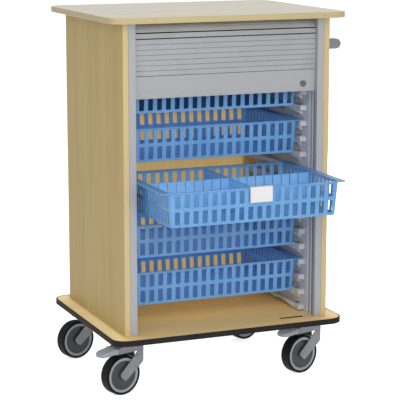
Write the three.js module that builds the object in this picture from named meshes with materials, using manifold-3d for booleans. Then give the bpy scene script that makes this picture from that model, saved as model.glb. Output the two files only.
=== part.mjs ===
// Mobile tray storage trolley: laminate carcass on four castors, five perforated slide-out baskets on
// moulded side liners, and a slatted shutter that runs up the front, over the top and down the back.
// Millimetres, +Z up, front towards -Y. The origin is on the floor under the middle of the whole outline,
// with the third basket pulled out and the castors trailing to the left.
import * as THREE from 'three';
import { mergeGeometries, mergeVertices } from 'three/addons/utils/BufferGeometryUtils.js';
import Module from 'manifold-3d';

const wasm = await Module();
wasm.setup();

// Clearances
const seatGap = 0.3;
const runningGap = 0.3;

// Baskets
const trayWidth = 600;
const trayDepth = 400;
const trayHeight = 105;
const trayWall = 3;
const flangeThickness = 4;
const sideFlange = 24;
const rimOverhang = 4;
const draftWidth = 15;
const draftDepth = 12;
const slotWidth = 16;
const slotHeight = 39;
const slotTopMargin = 8;
const slotRowGap = 11;
const slotRows = 2;
const slotColumns = 18;
const slotFromEdge = 26.95;
const sideSlotColumns = 13;
const sideSlotFromEdge = 31;
const trayPulled = 290;

// Dividers and label in the pulled basket
const dividerThickness = 2;
const dividerTopDrop = 3.5;
const dividerSlitDepth = 48;
const dividerEndGap = 0.5;
const labelWidth = 73;
const labelHeight = 48;
const labelOffset = 16;
const labelThickness = 2;
const labelClipDrop = 12;
const labelHookWidth = 12;
const cardThickness = 0.8;
const cardMargin = 2;

// Side liners
const linerThickness = 20;
const flangeClearance = 4;
const runnerClearance = 4;
const runnerPitch = 50;
const runnerHeight = 34;
const runnerLip = 12;
const runnerNoseHeight = 15;
const runnerNoseLength = 43;
const runnerNoseDepth = 9;
const lowestRunnerHeight = 71.2;
const lowestBasketRunner = 2;
const runnersPerBasket = 3;
const basketCount = 5;
const spareRunners = 2;
const runnerHeadroom = 82.8;
const linerTopMargin = 24.8;
const linerFootHeight = 22;
const linerFootFront = 10;
const linerFootRear = 20;
const linerFootStep = 190;

// Carcass
const panelThickness = 18;
const boardThickness = 18;
const boardOverhangSide = 46.5;
const boardOverhangFront = 46.6;
const boardCornerRadius = 48;
const bumperThickness = 4;
const trayFrontSetback = 82.5;
const trayBackClearance = 8;
const innerBackThickness = 8;
const outerBackThickness = 8;
const rearTrackInset = 20;

// Shutter and its tracks
const slatPitch = 15.7;
const slatThickness = 8;
const canvasThickness = 1.5;
const slatNotch = 1.2;
const frontSlats = 7;
const storedSlats = 49;
const bendRadius = 36;
const headClearance = 2.5;
const trackWall = 4.2;
const trackInnerGap = 1.2;
const slatBite = 11;
const slatEndGap = 4;
const profileWidth = 22.7;
const profileDepth = 60;
const profileFlange = 16.2;
const profileGrooveDepth = 8;
const profileGrooveWidth = 14.5;
const profileRearStrip = 12.5;
const curvedTrackInset = 6;
const railHeight = 68;
const railProud = 2;
const railSideGap = 1;

// Lock in the bottom rail
const lockRadius = 9.5;
const lockSideInset = 42;
const lockHeight = 24;
const lockProud = 3;
const keySlotLength = 11;
const keySlotWidth = 2.4;
const keySlotDepth = 1.5;
const keeperLength = 80;
const keeperWidth = 6;
const keeperDepth = 12;
const keeperFromLock = 29;
const boltLength = 76;
const boltThickness = 4.4;
const boltHeight = 10;
const boltRecess = 1;

// Push handle on the right side
const handleTopDrop = 85;
const handleHeight = 31;
const handleReach = 45.5;
const handleEndInset = 12;
const bracketLength = 24;
const barRadius = 10;
const barFromNose = 13;

// Castors
const castorHeight = 171;
const castorInsetSide = 82.5;
const castorInsetFront = 96;
const castorTrail = 40;
const castorTurn = THREE.MathUtils.degToRad(196.2);
const castorHeadHeight = 46;
const wheelSides = 24;
const tyreWidth = 38;
const tyreThickness = 8;
const tyreShoulder = 6;
const hubWidth = 39.6;
const hubRadius = 16;
const rimWidth = 34;
const rimBand = 10;
const webWidth = 12;
const axleRadius = 6;
const axleHeadRadius = 9;
const axleHeadLength = 4;
const legThickness = 4.5;
const legHeel = [-60, 26.5];
const legToe = [-2, -19];
const legTip = [19, 2];
const legArch = [-35, 55.5];
const legKnee = 42.5;
const hubToLegGap = 0.5;
const crownThickness = 15;
const crownHood = 26;
const crownHoodLength = 47;
const crownOverWheel = 10;
const crownFront = 31;
const crownRear = 22.6;
const swivelRadius = 36;
const plateLength = 105;
const plateWidth = 85;
const plateThickness = 4;
const pedalKnuckle = 7;
const pedalThickness = 11;
const pedalLength = 57;
const pedalDrop = 14;
const pedalWidth = 49;

// Heights and plan lines that follow from the sizes above
const bodyTopWidth = trayWidth - 2 * sideFlange;
const bodyFloorWidth = bodyTopWidth - draftWidth;
const bodyTopDepth = trayDepth - 2 * rimOverhang;
const bodyFloorDepth = bodyTopDepth - draftDepth;
const slotPitch = (bodyTopWidth - 2 * slotFromEdge) / (slotColumns - 1);
const sideSlotPitch = (bodyTopDepth - 2 * sideSlotFromEdge) / (sideSlotColumns - 1);
const dividerSlitCount = slotColumns - 1;
const baseTop = castorHeight + boardThickness;
const runnerCount = lowestBasketRunner + runnersPerBasket * (basketCount - 1) + 1 + spareRunners;
const carcassHeight = lowestRunnerHeight + runnerPitch * (runnerCount - 1) + runnerHeadroom;
const carcassTop = baseTop + carcassHeight;
const runnerInner = bodyTopWidth / 2 + runnerClearance;
const runnerRoot = trayWidth / 2 + flangeClearance;
const panelInner = runnerRoot + linerThickness;
const panelOuter = panelInner + panelThickness;
const boardWidth = 2 * (panelOuter + boardOverhangSide);
const trackOuterRadius = bendRadius + slatThickness + runningGap + trackWall;
const slotOuterRadius = bendRadius + slatThickness + runningGap;
const slotInnerRadius = bendRadius - trackInnerGap;
const trackInnerRadius = slotInnerRadius - trackWall;
const trackDepth = trackOuterRadius - trackInnerRadius;
const cabinetDepth = trayFrontSetback + trayDepth + trayBackClearance + innerBackThickness + seatGap
  + trackDepth + rearTrackInset;
const cabinetFront = -cabinetDepth / 2;
const cabinetBack = cabinetDepth / 2;
const boardDepth = cabinetDepth + 2 * boardOverhangFront;
const trayMiddle = cabinetFront + trayFrontSetback + trayDepth / 2;
const innerBackFront = trayMiddle + trayDepth / 2 + trayBackClearance;
const slotFront = cabinetFront + profileFlange;
const bendFrontY = slotFront + slotOuterRadius;
const bendRearY = cabinetBack - rearTrackInset - trackOuterRadius;
const bendZ = carcassTop - headClearance - trackOuterRadius;
const slatFace = slotFront + runningGap;
const slatBack = slatFace + slatThickness;
const slatMiddle = (slatFace + slatBack) / 2;
const profileInner = panelInner - seatGap - profileWidth;
const profileBack = cabinetFront + profileDepth;
const slatEnd = profileInner + slatBite;
const slotEnd = slatEnd + slatEndGap;
const railTop = bendZ - frontSlats * slatPitch - seatGap;
const railBottom = railTop - railHeight;
const lockX = profileInner - lockSideInset;
const lockZ = railBottom + lockHeight;
const keeperX = lockX - keeperFromLock;
const linerFront = profileBack + seatGap;
const linerBack = innerBackFront - seatGap;
const linerTop = lowestRunnerHeight + baseTop + runnerPitch * (runnerCount - 1) + linerTopMargin;
const pulledMiddle = trayMiddle - trayPulled;
const cardFront = -trayDepth / 2 - seatGap - labelThickness - seatGap - cardThickness;
const castorX = boardWidth / 2 - castorInsetSide;
const castorY = boardDepth / 2 - castorInsetFront;
const wheelRadius = (castorHeight - castorHeadHeight) / 2;
const crownEnd = castorTrail + crownRear;
const knuckleX = crownEnd + seatGap + pedalKnuckle;
const pedalReach = Math.abs(Math.cos(castorTurn)) * (knuckleX + pedalLength - pedalWidth / 2)
  + pedalWidth / 2;
const outlineShiftX = (castorX + pedalReach - boardWidth / 2) / 2;
const outlineShiftY = -(pulledMiddle + cardFront + boardDepth / 2) / 2;

const runnerTop = (index) => baseTop + lowestRunnerHeight + runnerPitch * index;
const basketRim = (number) => runnerTop(lowestBasketRunner + runnersPerBasket * (basketCount - number))
  + seatGap + flangeThickness;

// Materials
const laminate = new THREE.MeshStandardMaterial({ color: 0xcdbb8c, roughness: 0.35, metalness: 0 });
const bumperVinyl = new THREE.MeshStandardMaterial({ color: 0x282826, roughness: 0.6, metalness: 0 });
const aluminium = new THREE.MeshStandardMaterial({ color: 0xacafb2, roughness: 0.4, metalness: 0.6 });
const slatPlastic = new THREE.MeshStandardMaterial({ color: 0xa5a9ac, roughness: 0.45, metalness: 0 });
const linerPlastic = new THREE.MeshStandardMaterial({ color: 0x9a9ca0, roughness: 0.5, metalness: 0 });
const basketPlastic = new THREE.MeshStandardMaterial({ color: 0x5f97d2, roughness: 0.4, metalness: 0 });
const labelPlastic = new THREE.MeshStandardMaterial({ color: 0xe8e8ee, roughness: 0.3, metalness: 0 });
const cardPaper = new THREE.MeshStandardMaterial({ color: 0xf4f2ec, roughness: 0.8, metalness: 0 });
const lockSteel = new THREE.MeshStandardMaterial({ color: 0x5a5c5e, roughness: 0.35, metalness: 0.8 });
const handlePlastic = new THREE.MeshStandardMaterial({ color: 0x7d8187, roughness: 0.5, metalness: 0 });
const zincSteel = new THREE.MeshStandardMaterial({ color: 0x82858a, roughness: 0.4, metalness: 0.7 });
const tyreRubber = new THREE.MeshStandardMaterial({ color: 0x26262a, roughness: 0.7, metalness: 0 });
const wheelPlastic = new THREE.MeshStandardMaterial({ color: 0x6c6f73, roughness: 0.5, metalness: 0 });
const pedalPlastic = new THREE.MeshStandardMaterial({ color: 0x969ba2, roughness: 0.5, metalness: 0 });

const xAxis = new THREE.Vector3(1, 0, 0);
const yAxis = new THREE.Vector3(0, 1, 0);
const zAxis = new THREE.Vector3(0, 0, 1);

// A closed mesh as a solid that can be joined and cut
function toSolid(geometry) {
  const plain = geometry.clone();
  plain.deleteAttribute('normal');
  plain.deleteAttribute('uv');
  const merged = mergeVertices(plain);
  return new wasm.Manifold(new wasm.Mesh({
    numProp: 3,
    vertProperties: new Float32Array(merged.attributes.position.array),
    triVerts: new Uint32Array(merged.index.array),
  }));
}

function toGeometry(solid) {
  const { vertProperties, triVerts } = solid.getMesh();
  const geometry = new THREE.BufferGeometry();
  geometry.setAttribute('position', new THREE.BufferAttribute(vertProperties, 3));
  geometry.setIndex(new THREE.BufferAttribute(triVerts, 1));
  geometry.computeVertexNormals();
  return geometry;
}

const join = (...pieces) => toGeometry(pieces.map(toSolid).reduce((whole, piece) => whole.add(piece)));
const common = (one, other) => toGeometry(toSolid(one).intersect(toSolid(other)));
const cut = (body, ...tools) => toGeometry(tools.map(toSolid).reduce((whole, tool) => whole.subtract(tool),
  toSolid(body)));

// A box between low and high values on each axis
function box([x0, x1], [y0, y1], [z0, z1]) {
  const geometry = new THREE.BoxGeometry(x1 - x0, y1 - y0, z1 - z0);
  return geometry.translate((x0 + x1) / 2, (y0 + y1) / 2, (z0 + z1) / 2);
}

const shapeOf = (points) => new THREE.Shape(points.map(([a, b]) => new THREE.Vector2(a, b)));

function prism(shape, length) {
  return new THREE.ExtrudeGeometry(shape, { depth: length, bevelEnabled: false, curveSegments: 4 });
}

// An outline of [y, z] points carried along X, of [x, z] points along Y, or of [x, y] points along Z
function prismAlongX(points, [low, high]) {
  const turned = new THREE.Matrix4().makeBasis(yAxis, zAxis, xAxis);
  return prism(shapeOf(points), high - low).applyMatrix4(turned).translate(low, 0, 0);
}

function prismAlongY(points, [low, high]) {
  const turned = new THREE.Matrix4().makeBasis(xAxis, zAxis, yAxis.clone().negate());
  return prism(shapeOf(points), high - low).applyMatrix4(turned).translate(0, high, 0);
}

function prismAlongZ(points, [low, high]) {
  return prism(shapeOf(points), high - low).translate(0, 0, low);
}

// A turned piece about the Z axis from [radius, z] points, run anticlockwise
function turned(points, sides) {
  const profile = points.map(([radius, z]) => new THREE.Vector2(radius, z));
  return new THREE.LatheGeometry(profile, sides).rotateX(Math.PI / 2);
}

function roundedRectangle(width, depth, radius) {
  const shape = new THREE.Shape();
  const x = width / 2 - radius;
  const y = depth / 2 - radius;
  shape.absarc(x, y, radius, 0, Math.PI / 2);
  shape.absarc(-x, y, radius, Math.PI / 2, Math.PI);
  shape.absarc(-x, -y, radius, Math.PI, 1.5 * Math.PI);
  shape.absarc(x, -y, radius, 1.5 * Math.PI, 2 * Math.PI);
  return shape;
}

const part = new THREE.Group();
part.position.set(outlineShiftX, outlineShiftY, 0);

function place(parent, name, geometry, material) {
  const mesh = new THREE.Mesh(geometry, material);
  mesh.name = name;
  parent.add(mesh);
  return mesh;
}

// Carcass: base with its bumper, side panels, top and two back panels
const innerBoardWidth = boardWidth - 2 * (bumperThickness + seatGap);
const innerBoardDepth = boardDepth - 2 * (bumperThickness + seatGap);
const innerBoardRadius = boardCornerRadius - bumperThickness - seatGap;
const keeperSlot = box(
  [keeperX - keeperLength / 2, keeperX + keeperLength / 2],
  [slatMiddle - keeperWidth / 2, slatMiddle + keeperWidth / 2],
  [baseTop - keeperDepth, baseTop + 1],
);
const baseBlank = prism(roundedRectangle(innerBoardWidth, innerBoardDepth, innerBoardRadius), boardThickness)
  .translate(0, 0, castorHeight);
place(part, 'base_board', cut(baseBlank, keeperSlot), laminate);

const bumperShape = roundedRectangle(boardWidth, boardDepth, boardCornerRadius);
bumperShape.holes.push(roundedRectangle(
  boardWidth - 2 * bumperThickness,
  boardDepth - 2 * bumperThickness,
  boardCornerRadius - bumperThickness,
));
place(part, 'base_bumper', prism(bumperShape, boardThickness).translate(0, 0, castorHeight), bumperVinyl);

const topBoard = prism(roundedRectangle(boardWidth, boardDepth, boardCornerRadius), boardThickness);
place(part, 'top_board', topBoard.translate(0, 0, carcassTop), laminate);

const standing = [baseTop + seatGap, carcassTop - seatGap];
const sides = [['left', -1], ['right', 1]];
const span = (side, near, far) => (side > 0 ? [near, far] : [-far, -near]);

for (const [word, side] of sides) {
  const panel = box(span(side, panelInner, panelOuter), [cabinetFront, cabinetBack], standing);
  place(part, `side_panel_${word}`, panel, laminate);
}

const betweenPanels = [-panelInner + seatGap, panelInner - seatGap];
const innerBack = box(
  betweenPanels,
  [innerBackFront, innerBackFront + innerBackThickness],
  [baseTop + seatGap, bendZ - seatGap],
);
place(part, 'inner_back_panel', innerBack, laminate);
const outerBack = box(betweenPanels, [cabinetBack - outerBackThickness, cabinetBack], standing);
place(part, 'outer_back_panel', outerBack, laminate);

// Front profiles: a flange that shows, the slot that the slat ends run in, and a second groove behind it
for (const [word, side] of sides) {
  const outer = panelInner - seatGap;
  const slotBack = slatBack + runningGap;
  const grooveBack = profileBack - profileRearStrip;
  const outline = [
    [profileInner, cabinetFront],
    [outer, cabinetFront],
    [outer, profileBack],
    [profileInner, profileBack],
    [profileInner, grooveBack],
    [profileInner + profileGrooveDepth, grooveBack],
    [profileInner + profileGrooveDepth, grooveBack - profileGrooveWidth],
    [profileInner, grooveBack - profileGrooveWidth],
    [profileInner, slotBack],
    [slotEnd, slotBack],
    [slotEnd, slotFront],
    [profileInner, slotFront],
  ].map(([x, y]) => [side * x, y]);
  const lower = prismAlongZ(outline, [baseTop + seatGap, bendZ - seatGap]);
  const upper = box(span(side, profileInner, outer), [cabinetFront, slotFront], [bendZ - 10, standing[1]]);
  place(part, `front_profile_${word}`, join(lower, upper), aluminium);
}

// The line that the shutter follows: up the front, round, along the top, round and down the back, at a
// distance from the two bend centres
const bendSteps = 12;

function shutterLine(radius, frontZ, rearZ) {
  const points = [[bendFrontY - radius, frontZ]];
  for (let step = 0; step <= bendSteps; step += 1) {
    const angle = Math.PI - (step / bendSteps) * (Math.PI / 2);
    points.push([bendFrontY + radius * Math.cos(angle), bendZ + radius * Math.sin(angle)]);
  }
  for (let step = 0; step <= bendSteps; step += 1) {
    const angle = Math.PI / 2 - (step / bendSteps) * (Math.PI / 2);
    points.push([bendRearY + radius * Math.cos(angle), bendZ + radius * Math.sin(angle)]);
  }
  points.push([bendRearY + radius, rearZ]);
  return points;
}

const shutterBand = (inner, outer, frontZ, rearZ) => [
  ...shutterLine(outer, frontZ, rearZ),
  ...shutterLine(inner, frontZ, rearZ).reverse(),
];

// Curved tracks above the profiles and down the back
for (const [word, side] of sides) {
  const near = profileInner + curvedTrackInset;
  const far = panelInner - seatGap;
  const rearEnd = baseTop + seatGap;
  const band = shutterBand(trackInnerRadius, trackOuterRadius, bendZ - 0.01, rearEnd);
  const slot = shutterBand(slotInnerRadius, slotOuterRadius, bendZ - 1, rearEnd - 1);
  const profileRoom = box(
    span(side, profileInner - 1, panelInner),
    [cabinetFront - 1, slotFront + seatGap],
    [bendZ - 20, carcassTop],
  );
  const track = cut(
    prismAlongX(band, span(side, near, far)),
    prismAlongX(slot, span(side, near - 1, slotEnd)),
    profileRoom,
  );
  place(part, `shutter_track_${word}`, track, aluminium);
}

// Where the shutter's canvas backing lies, by length along it from the start of the front bend
const quarter = bendRadius * (Math.PI / 2);
const topRun = bendRearY - bendFrontY;

function canvasAt(length) {
  if (length < quarter) {
    const angle = Math.PI - length / bendRadius;
    return [bendFrontY + bendRadius * Math.cos(angle), bendZ + bendRadius * Math.sin(angle)];
  }
  if (length < quarter + topRun) {
    return [bendFrontY + length - quarter, bendZ + bendRadius];
  }
  if (length < 2 * quarter + topRun) {
    const angle = Math.PI / 2 - (length - quarter - topRun) / bendRadius;
    return [bendRearY + bendRadius * Math.cos(angle), bendZ + bendRadius * Math.sin(angle)];
  }
  return [bendRearY + bendRadius, bendZ - (length - 2 * quarter - topRun)];
}

// Slats glued to a canvas: each is a flat bar with a notch between it and the next
function slatOutline(joints) {
  const faces = [];
  for (let index = 0; index + 1 < joints.length; index += 1) {
    const [y0, z0] = joints[index];
    const [y1, z1] = joints[index + 1];
    const length = Math.hypot(y1 - y0, z1 - z0);
    const along = [(y1 - y0) / length, (z1 - z0) / length];
    const out = [-along[1], along[0]];
    const point = (run, rise) => [
      y0 + along[0] * run + out[0] * rise,
      z0 + along[1] * run + out[1] * rise,
    ];
    if (index > 0) {
      faces.push(point(0, canvasThickness));
    }
    const inset = slatNotch / 2;
    faces.push(point(index > 0 ? inset : 0, slatThickness));
    faces.push(point(index + 2 < joints.length ? length - inset : length, slatThickness));
  }
  return [...faces, ...joints.slice().reverse()];
}

const storedJoints = [];
for (let index = 0; index <= storedSlats; index += 1) {
  storedJoints.push(canvasAt(index * slatPitch));
}
const slatSpan = [-slatEnd, slatEnd];
place(part, 'shutter_stored_slats', prismAlongX(slatOutline(storedJoints), slatSpan), slatPlastic);

const frontJoints = [];
for (let index = 0; index <= frontSlats; index += 1) {
  frontJoints.push([slatBack, bendZ - seatGap - (frontSlats - index) * slatPitch]);
}
place(part, 'shutter_front_slats', prismAlongX(slatOutline(frontJoints), slatSpan), slatPlastic);

// Bottom rail with its lock cylinder and bolt
const railFace = slatFace - railProud;
const railBack = slatBack + railProud;
const railHalf = profileInner - railSideGap;
const railZ = [railBottom, railTop - seatGap];
const lockSides = 20;
const lockHole = turned([[0, 0], [lockRadius + runningGap, 0], [lockRadius + runningGap, 60], [0, 60]], lockSides)
  .rotateX(Math.PI / 2).translate(lockX, railBack + 30, lockZ);
const boltRoom = box(
  [keeperX - boltLength / 2 - runningGap, keeperX + boltLength / 2 + runningGap],
  [slatMiddle - boltThickness / 2 - runningGap, slatMiddle + boltThickness / 2 + runningGap],
  [railBottom - 1, railBottom + boltRecess + boltHeight + runningGap],
);
const railCore = join(
  box([-railHalf, railHalf], [railFace, railBack], railZ),
  box(slatSpan, [slatFace, slatBack], railZ),
);
place(part, 'shutter_bottom_rail', cut(railCore, lockHole, boltRoom), aluminium);

const lockLength = railBack - railFace + lockProud;
const lockBlank = turned([[0, 0], [lockRadius, 0], [lockRadius, lockLength], [0, lockLength]], lockSides);
const keySlot = box(
  [-keySlotWidth / 2, keySlotWidth / 2],
  [-keySlotLength / 2, keySlotLength / 2],
  [lockLength - keySlotDepth, lockLength + 1],
);
place(part, 'lock_cylinder', cut(lockBlank, keySlot), lockSteel)
  .rotateX(Math.PI / 2).position.set(lockX, railBack, lockZ);
const bolt = box(
  [keeperX - boltLength / 2, keeperX + boltLength / 2],
  [slatMiddle - boltThickness / 2, slatMiddle + boltThickness / 2],
  [railBottom + boltRecess, railBottom + boltRecess + boltHeight],
);
place(part, 'lock_bolt', bolt, lockSteel);

// Side liners: a wall with a runner every pitch; each runner has a flat top, a rounded underside and a
// shallow nose at its front end
function runnerOutline(side, top) {
  const lip = top - runnerLip;
  const foot = top - runnerHeight;
  const rounding = [];
  for (let step = 0; step <= 3; step += 1) {
    const angle = (step / 3) * (Math.PI / 2);
    rounding.push([
      runnerRoot - (runnerRoot - runnerInner) * Math.cos(angle),
      lip - (lip - foot) * Math.sin(angle),
    ]);
  }
  const outline = [[runnerRoot + 1, top], [runnerInner, top], ...rounding, [runnerRoot + 1, foot]];
  return outline.map(([x, z]) => [side * x, z]);
}

for (const [word, side] of sides) {
  const pieces = [box(
    span(side, runnerRoot, panelInner - seatGap),
    [linerFront, linerBack],
    [baseTop + seatGap, linerTop],
  )];
  const noseEnd = linerFront + runnerNoseLength;
  for (let index = 0; index < runnerCount; index += 1) {
    const top = runnerTop(index);
    pieces.push(prismAlongY(runnerOutline(side, top), [noseEnd, linerBack]));
    pieces.push(box(
      span(side, runnerRoot - runnerNoseDepth, runnerRoot + 1),
      [linerFront, noseEnd + 1],
      [top - runnerNoseHeight, top],
    ));
  }
  const footZ = [baseTop + seatGap, baseTop + seatGap + linerFootHeight];
  const footStep = linerFront + linerFootStep;
  pieces.push(box(span(side, runnerRoot - linerFootFront, runnerRoot + 1), [linerFront, footStep + 1], footZ));
  pieces.push(box(span(side, runnerRoot - linerFootRear, runnerRoot + 1), [footStep, linerBack], footZ));
  place(part, `liner_${word}`, join(...pieces), linerPlastic);
}

// Baskets: a tapered tub with a flange, and rows of slots through all four walls. Their own zero is the
// middle of the rim
const bodyAt = (top, floor, z) => top + ((floor - top) * -z) / trayHeight;
const widthAt = (z) => bodyAt(bodyTopWidth, bodyFloorWidth, z);
const depthAt = (z) => bodyAt(bodyTopDepth, bodyFloorDepth, z);

function tub(inset, [low, high]) {
  const geometry = new THREE.BoxGeometry(1, 1, 1);
  const points = geometry.attributes.position;
  for (let index = 0; index < points.count; index += 1) {
    const z = points.getZ(index) > 0 ? high : low;
    const x = points.getX(index) * (widthAt(z) - 2 * inset);
    const y = points.getY(index) * (depthAt(z) - 2 * inset);
    points.setXYZ(index, x, y, z);
  }
  return geometry;
}

const slotRange = (row) => {
  const top = -slotTopMargin - row * (slotHeight + slotRowGap);
  return [top - slotHeight, top];
};
const centred = (index, count, pitch) => (index - (count - 1) / 2) * pitch;
const around = (middle, size) => [middle - size / 2, middle + size / 2];
const throughWidth = [-trayWidth, trayWidth];
const throughDepth = [-trayDepth, trayDepth];
const frontSlots = [];
const sideSlots = [];
for (let row = 0; row < slotRows; row += 1) {
  for (let column = 0; column < slotColumns; column += 1) {
    const across = around(centred(column, slotColumns, slotPitch), slotWidth);
    frontSlots.push(box(across, throughDepth, slotRange(row)));
  }
  for (let column = 0; column < sideSlotColumns; column += 1) {
    const along = around(centred(column, sideSlotColumns, sideSlotPitch), slotWidth);
    sideSlots.push(box(throughWidth, along, slotRange(row)));
  }
}
const flange = box(
  [-trayWidth / 2, trayWidth / 2],
  [-trayDepth / 2, trayDepth / 2],
  [-flangeThickness, 0],
);
const tubFloor = -trayHeight + trayWall;
const basketGeometry = cut(
  join(tub(0, [-trayHeight, 0]), flange),
  tub(trayWall, [tubFloor, 1]),
  mergeGeometries(frontSlots),
  mergeGeometries(sideSlots),
);

const pulledBasket = new THREE.Group();
pulledBasket.position.set(0, pulledMiddle, basketRim(3));
part.add(pulledBasket);
for (let number = 1; number <= basketCount; number += 1) {
  const name = `basket_${number}`;
  if (number === 3) {
    place(pulledBasket, name, basketGeometry, basketPlastic);
  } else {
    place(part, name, basketGeometry, basketPlastic).position.set(0, trayMiddle, basketRim(number));
  }
}

// Two crossed dividers: the long one is slit from its top edge, the cross one from its bottom edge
const dividerTop = -dividerTopDrop;
const dividerFoot = tubFloor + seatGap;
const slitHalf = dividerThickness / 2 + seatGap;
const slitFloor = dividerTop - dividerSlitDepth;
const inside = (sizeAt, z) => sizeAt(z) / 2 - trayWall - dividerEndGap;
const longOutline = [[-inside(widthAt, dividerFoot), dividerFoot], [inside(widthAt, dividerFoot), dividerFoot]];
longOutline.push([inside(widthAt, dividerTop), dividerTop]);
for (let index = dividerSlitCount - 1; index >= 0; index -= 1) {
  const x = centred(index, dividerSlitCount, slotPitch);
  longOutline.push([x + slitHalf, dividerTop], [x + slitHalf, slitFloor]);
  longOutline.push([x - slitHalf, slitFloor], [x - slitHalf, dividerTop]);
}
longOutline.push([-inside(widthAt, dividerTop), dividerTop]);
const dividerSpan = around(0, dividerThickness);
place(pulledBasket, 'divider_long', prismAlongY(longOutline, dividerSpan), basketPlastic);
const crossOutline = [
  [-inside(depthAt, dividerFoot), dividerFoot],
  [-slitHalf, dividerFoot],
  [-slitHalf, slitFloor + seatGap],
  [slitHalf, slitFloor + seatGap],
  [slitHalf, dividerFoot],
  [inside(depthAt, dividerFoot), dividerFoot],
  [inside(depthAt, dividerTop), dividerTop],
  [-inside(depthAt, dividerTop), dividerTop],
];
place(pulledBasket, 'divider_cross', prismAlongX(crossOutline, dividerSpan), basketPlastic);

// Label holder hooked over the front rim, with a plain card
const rimFront = -trayDepth / 2;
const rimBack = -(depthAt(-labelClipDrop) / 2 - trayWall);
const clipTop = seatGap + labelThickness;
const clipBack = rimBack + seatGap + labelThickness;
const clipOutline = [
  [rimFront - seatGap - labelThickness, clipTop - labelHeight],
  [rimFront - seatGap, clipTop - labelHeight],
  [rimFront - seatGap, seatGap],
  [clipBack, seatGap],
  [clipBack, clipTop],
  [rimFront - seatGap - labelThickness, clipTop],
];
const labelSpan = around(labelOffset, labelWidth);
const clipHooks = [
  [labelSpan[0], labelSpan[0] + labelHookWidth],
  [labelSpan[1] - labelHookWidth, labelSpan[1]],
].map((across) => box(across, [clipBack - labelThickness, clipBack], [-labelClipDrop, clipTop]));
const labelHolder = join(prismAlongX(clipOutline, labelSpan), ...clipHooks);
place(pulledBasket, 'label_holder', labelHolder, labelPlastic);
const card = box(
  around(labelOffset, labelWidth - 2 * cardMargin),
  [cardFront, cardFront + cardThickness],
  [clipTop - labelHeight + cardMargin, clipTop - cardMargin],
);
place(pulledBasket, 'label_card', card, cardPaper);

// Push handle: two rounded brackets on the right panel with a bar between them
const handleZ = carcassTop - handleTopDrop;
const handleRoot = panelOuter + seatGap;
const noseLength = handleHeight / 2;
const bracketOutline = [[handleRoot, handleZ - handleHeight / 2]];
for (let step = 0; step <= 10; step += 1) {
  const angle = -Math.PI / 2 + (step / 10) * Math.PI;
  bracketOutline.push([
    handleRoot + handleReach - noseLength + noseLength * Math.cos(angle),
    handleZ + (handleHeight / 2) * Math.sin(angle),
  ]);
}
bracketOutline.push([handleRoot, handleZ + handleHeight / 2]);
const bracketFront = cabinetFront + handleEndInset;
const bracketBack = cabinetBack - handleEndInset;
const frontBracket = prismAlongY(bracketOutline, [bracketFront, bracketFront + bracketLength]);
place(part, 'push_handle_bracket_front', frontBracket, handlePlastic);
const rearBracket = prismAlongY(bracketOutline, [bracketBack - bracketLength, bracketBack]);
place(part, 'push_handle_bracket_rear', rearBracket, handlePlastic);
const barLength = bracketBack - bracketFront - 2 * (bracketLength + seatGap);
const bar = turned([[0, 0], [barRadius, 0], [barRadius, barLength], [0, barLength]], 16);
place(part, 'push_handle_bar', bar, handlePlastic)
  .rotateX(-Math.PI / 2)
  .position.set(handleRoot + handleReach - barFromNose, bracketFront + bracketLength + seatGap, handleZ);

// Castors: their own zero is on the floor under the swivel axis, with the wheel trailing along +X
const tyreVertex = wheelRadius / Math.cos(Math.PI / wheelSides);
const rimOuter = tyreVertex - tyreThickness - seatGap;
const tyreHalf = tyreWidth / 2;
const tyreGeometry = turned([
  [tyreVertex - tyreThickness, -tyreHalf],
  [tyreVertex - tyreShoulder / 2, -tyreHalf],
  [tyreVertex, -tyreHalf + tyreShoulder],
  [tyreVertex, tyreHalf - tyreShoulder],
  [tyreVertex - tyreShoulder / 2, tyreHalf],
  [tyreVertex - tyreThickness, tyreHalf],
  [tyreVertex - tyreThickness, -tyreHalf],
], wheelSides);
const boreRadius = axleRadius + runningGap;
const wheelGeometry = turned([
  [boreRadius, -hubWidth / 2],
  [hubRadius, -hubWidth / 2],
  [rimOuter - 1.5 * rimBand, -webWidth / 2],
  [rimOuter - rimBand, -rimWidth / 2],
  [rimOuter, -rimWidth / 2],
  [rimOuter, rimWidth / 2],
  [rimOuter - rimBand, rimWidth / 2],
  [rimOuter - 1.5 * rimBand, webWidth / 2],
  [hubRadius, hubWidth / 2],
  [boreRadius, hubWidth / 2],
  [boreRadius, -hubWidth / 2],
], wheelSides);
const legInner = hubWidth / 2 + hubToLegGap;
const legOuter = legInner + legThickness;
const axleHalf = legOuter + seatGap;
const axleGeometry = turned([
  [0, -axleHalf - axleHeadLength],
  [axleHeadRadius, -axleHalf - axleHeadLength],
  [axleHeadRadius, -axleHalf],
  [axleRadius, -axleHalf],
  [axleRadius, axleHalf],
  [axleHeadRadius, axleHalf],
  [axleHeadRadius, axleHalf + axleHeadLength],
  [0, axleHalf + axleHeadLength],
], 12);

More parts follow.
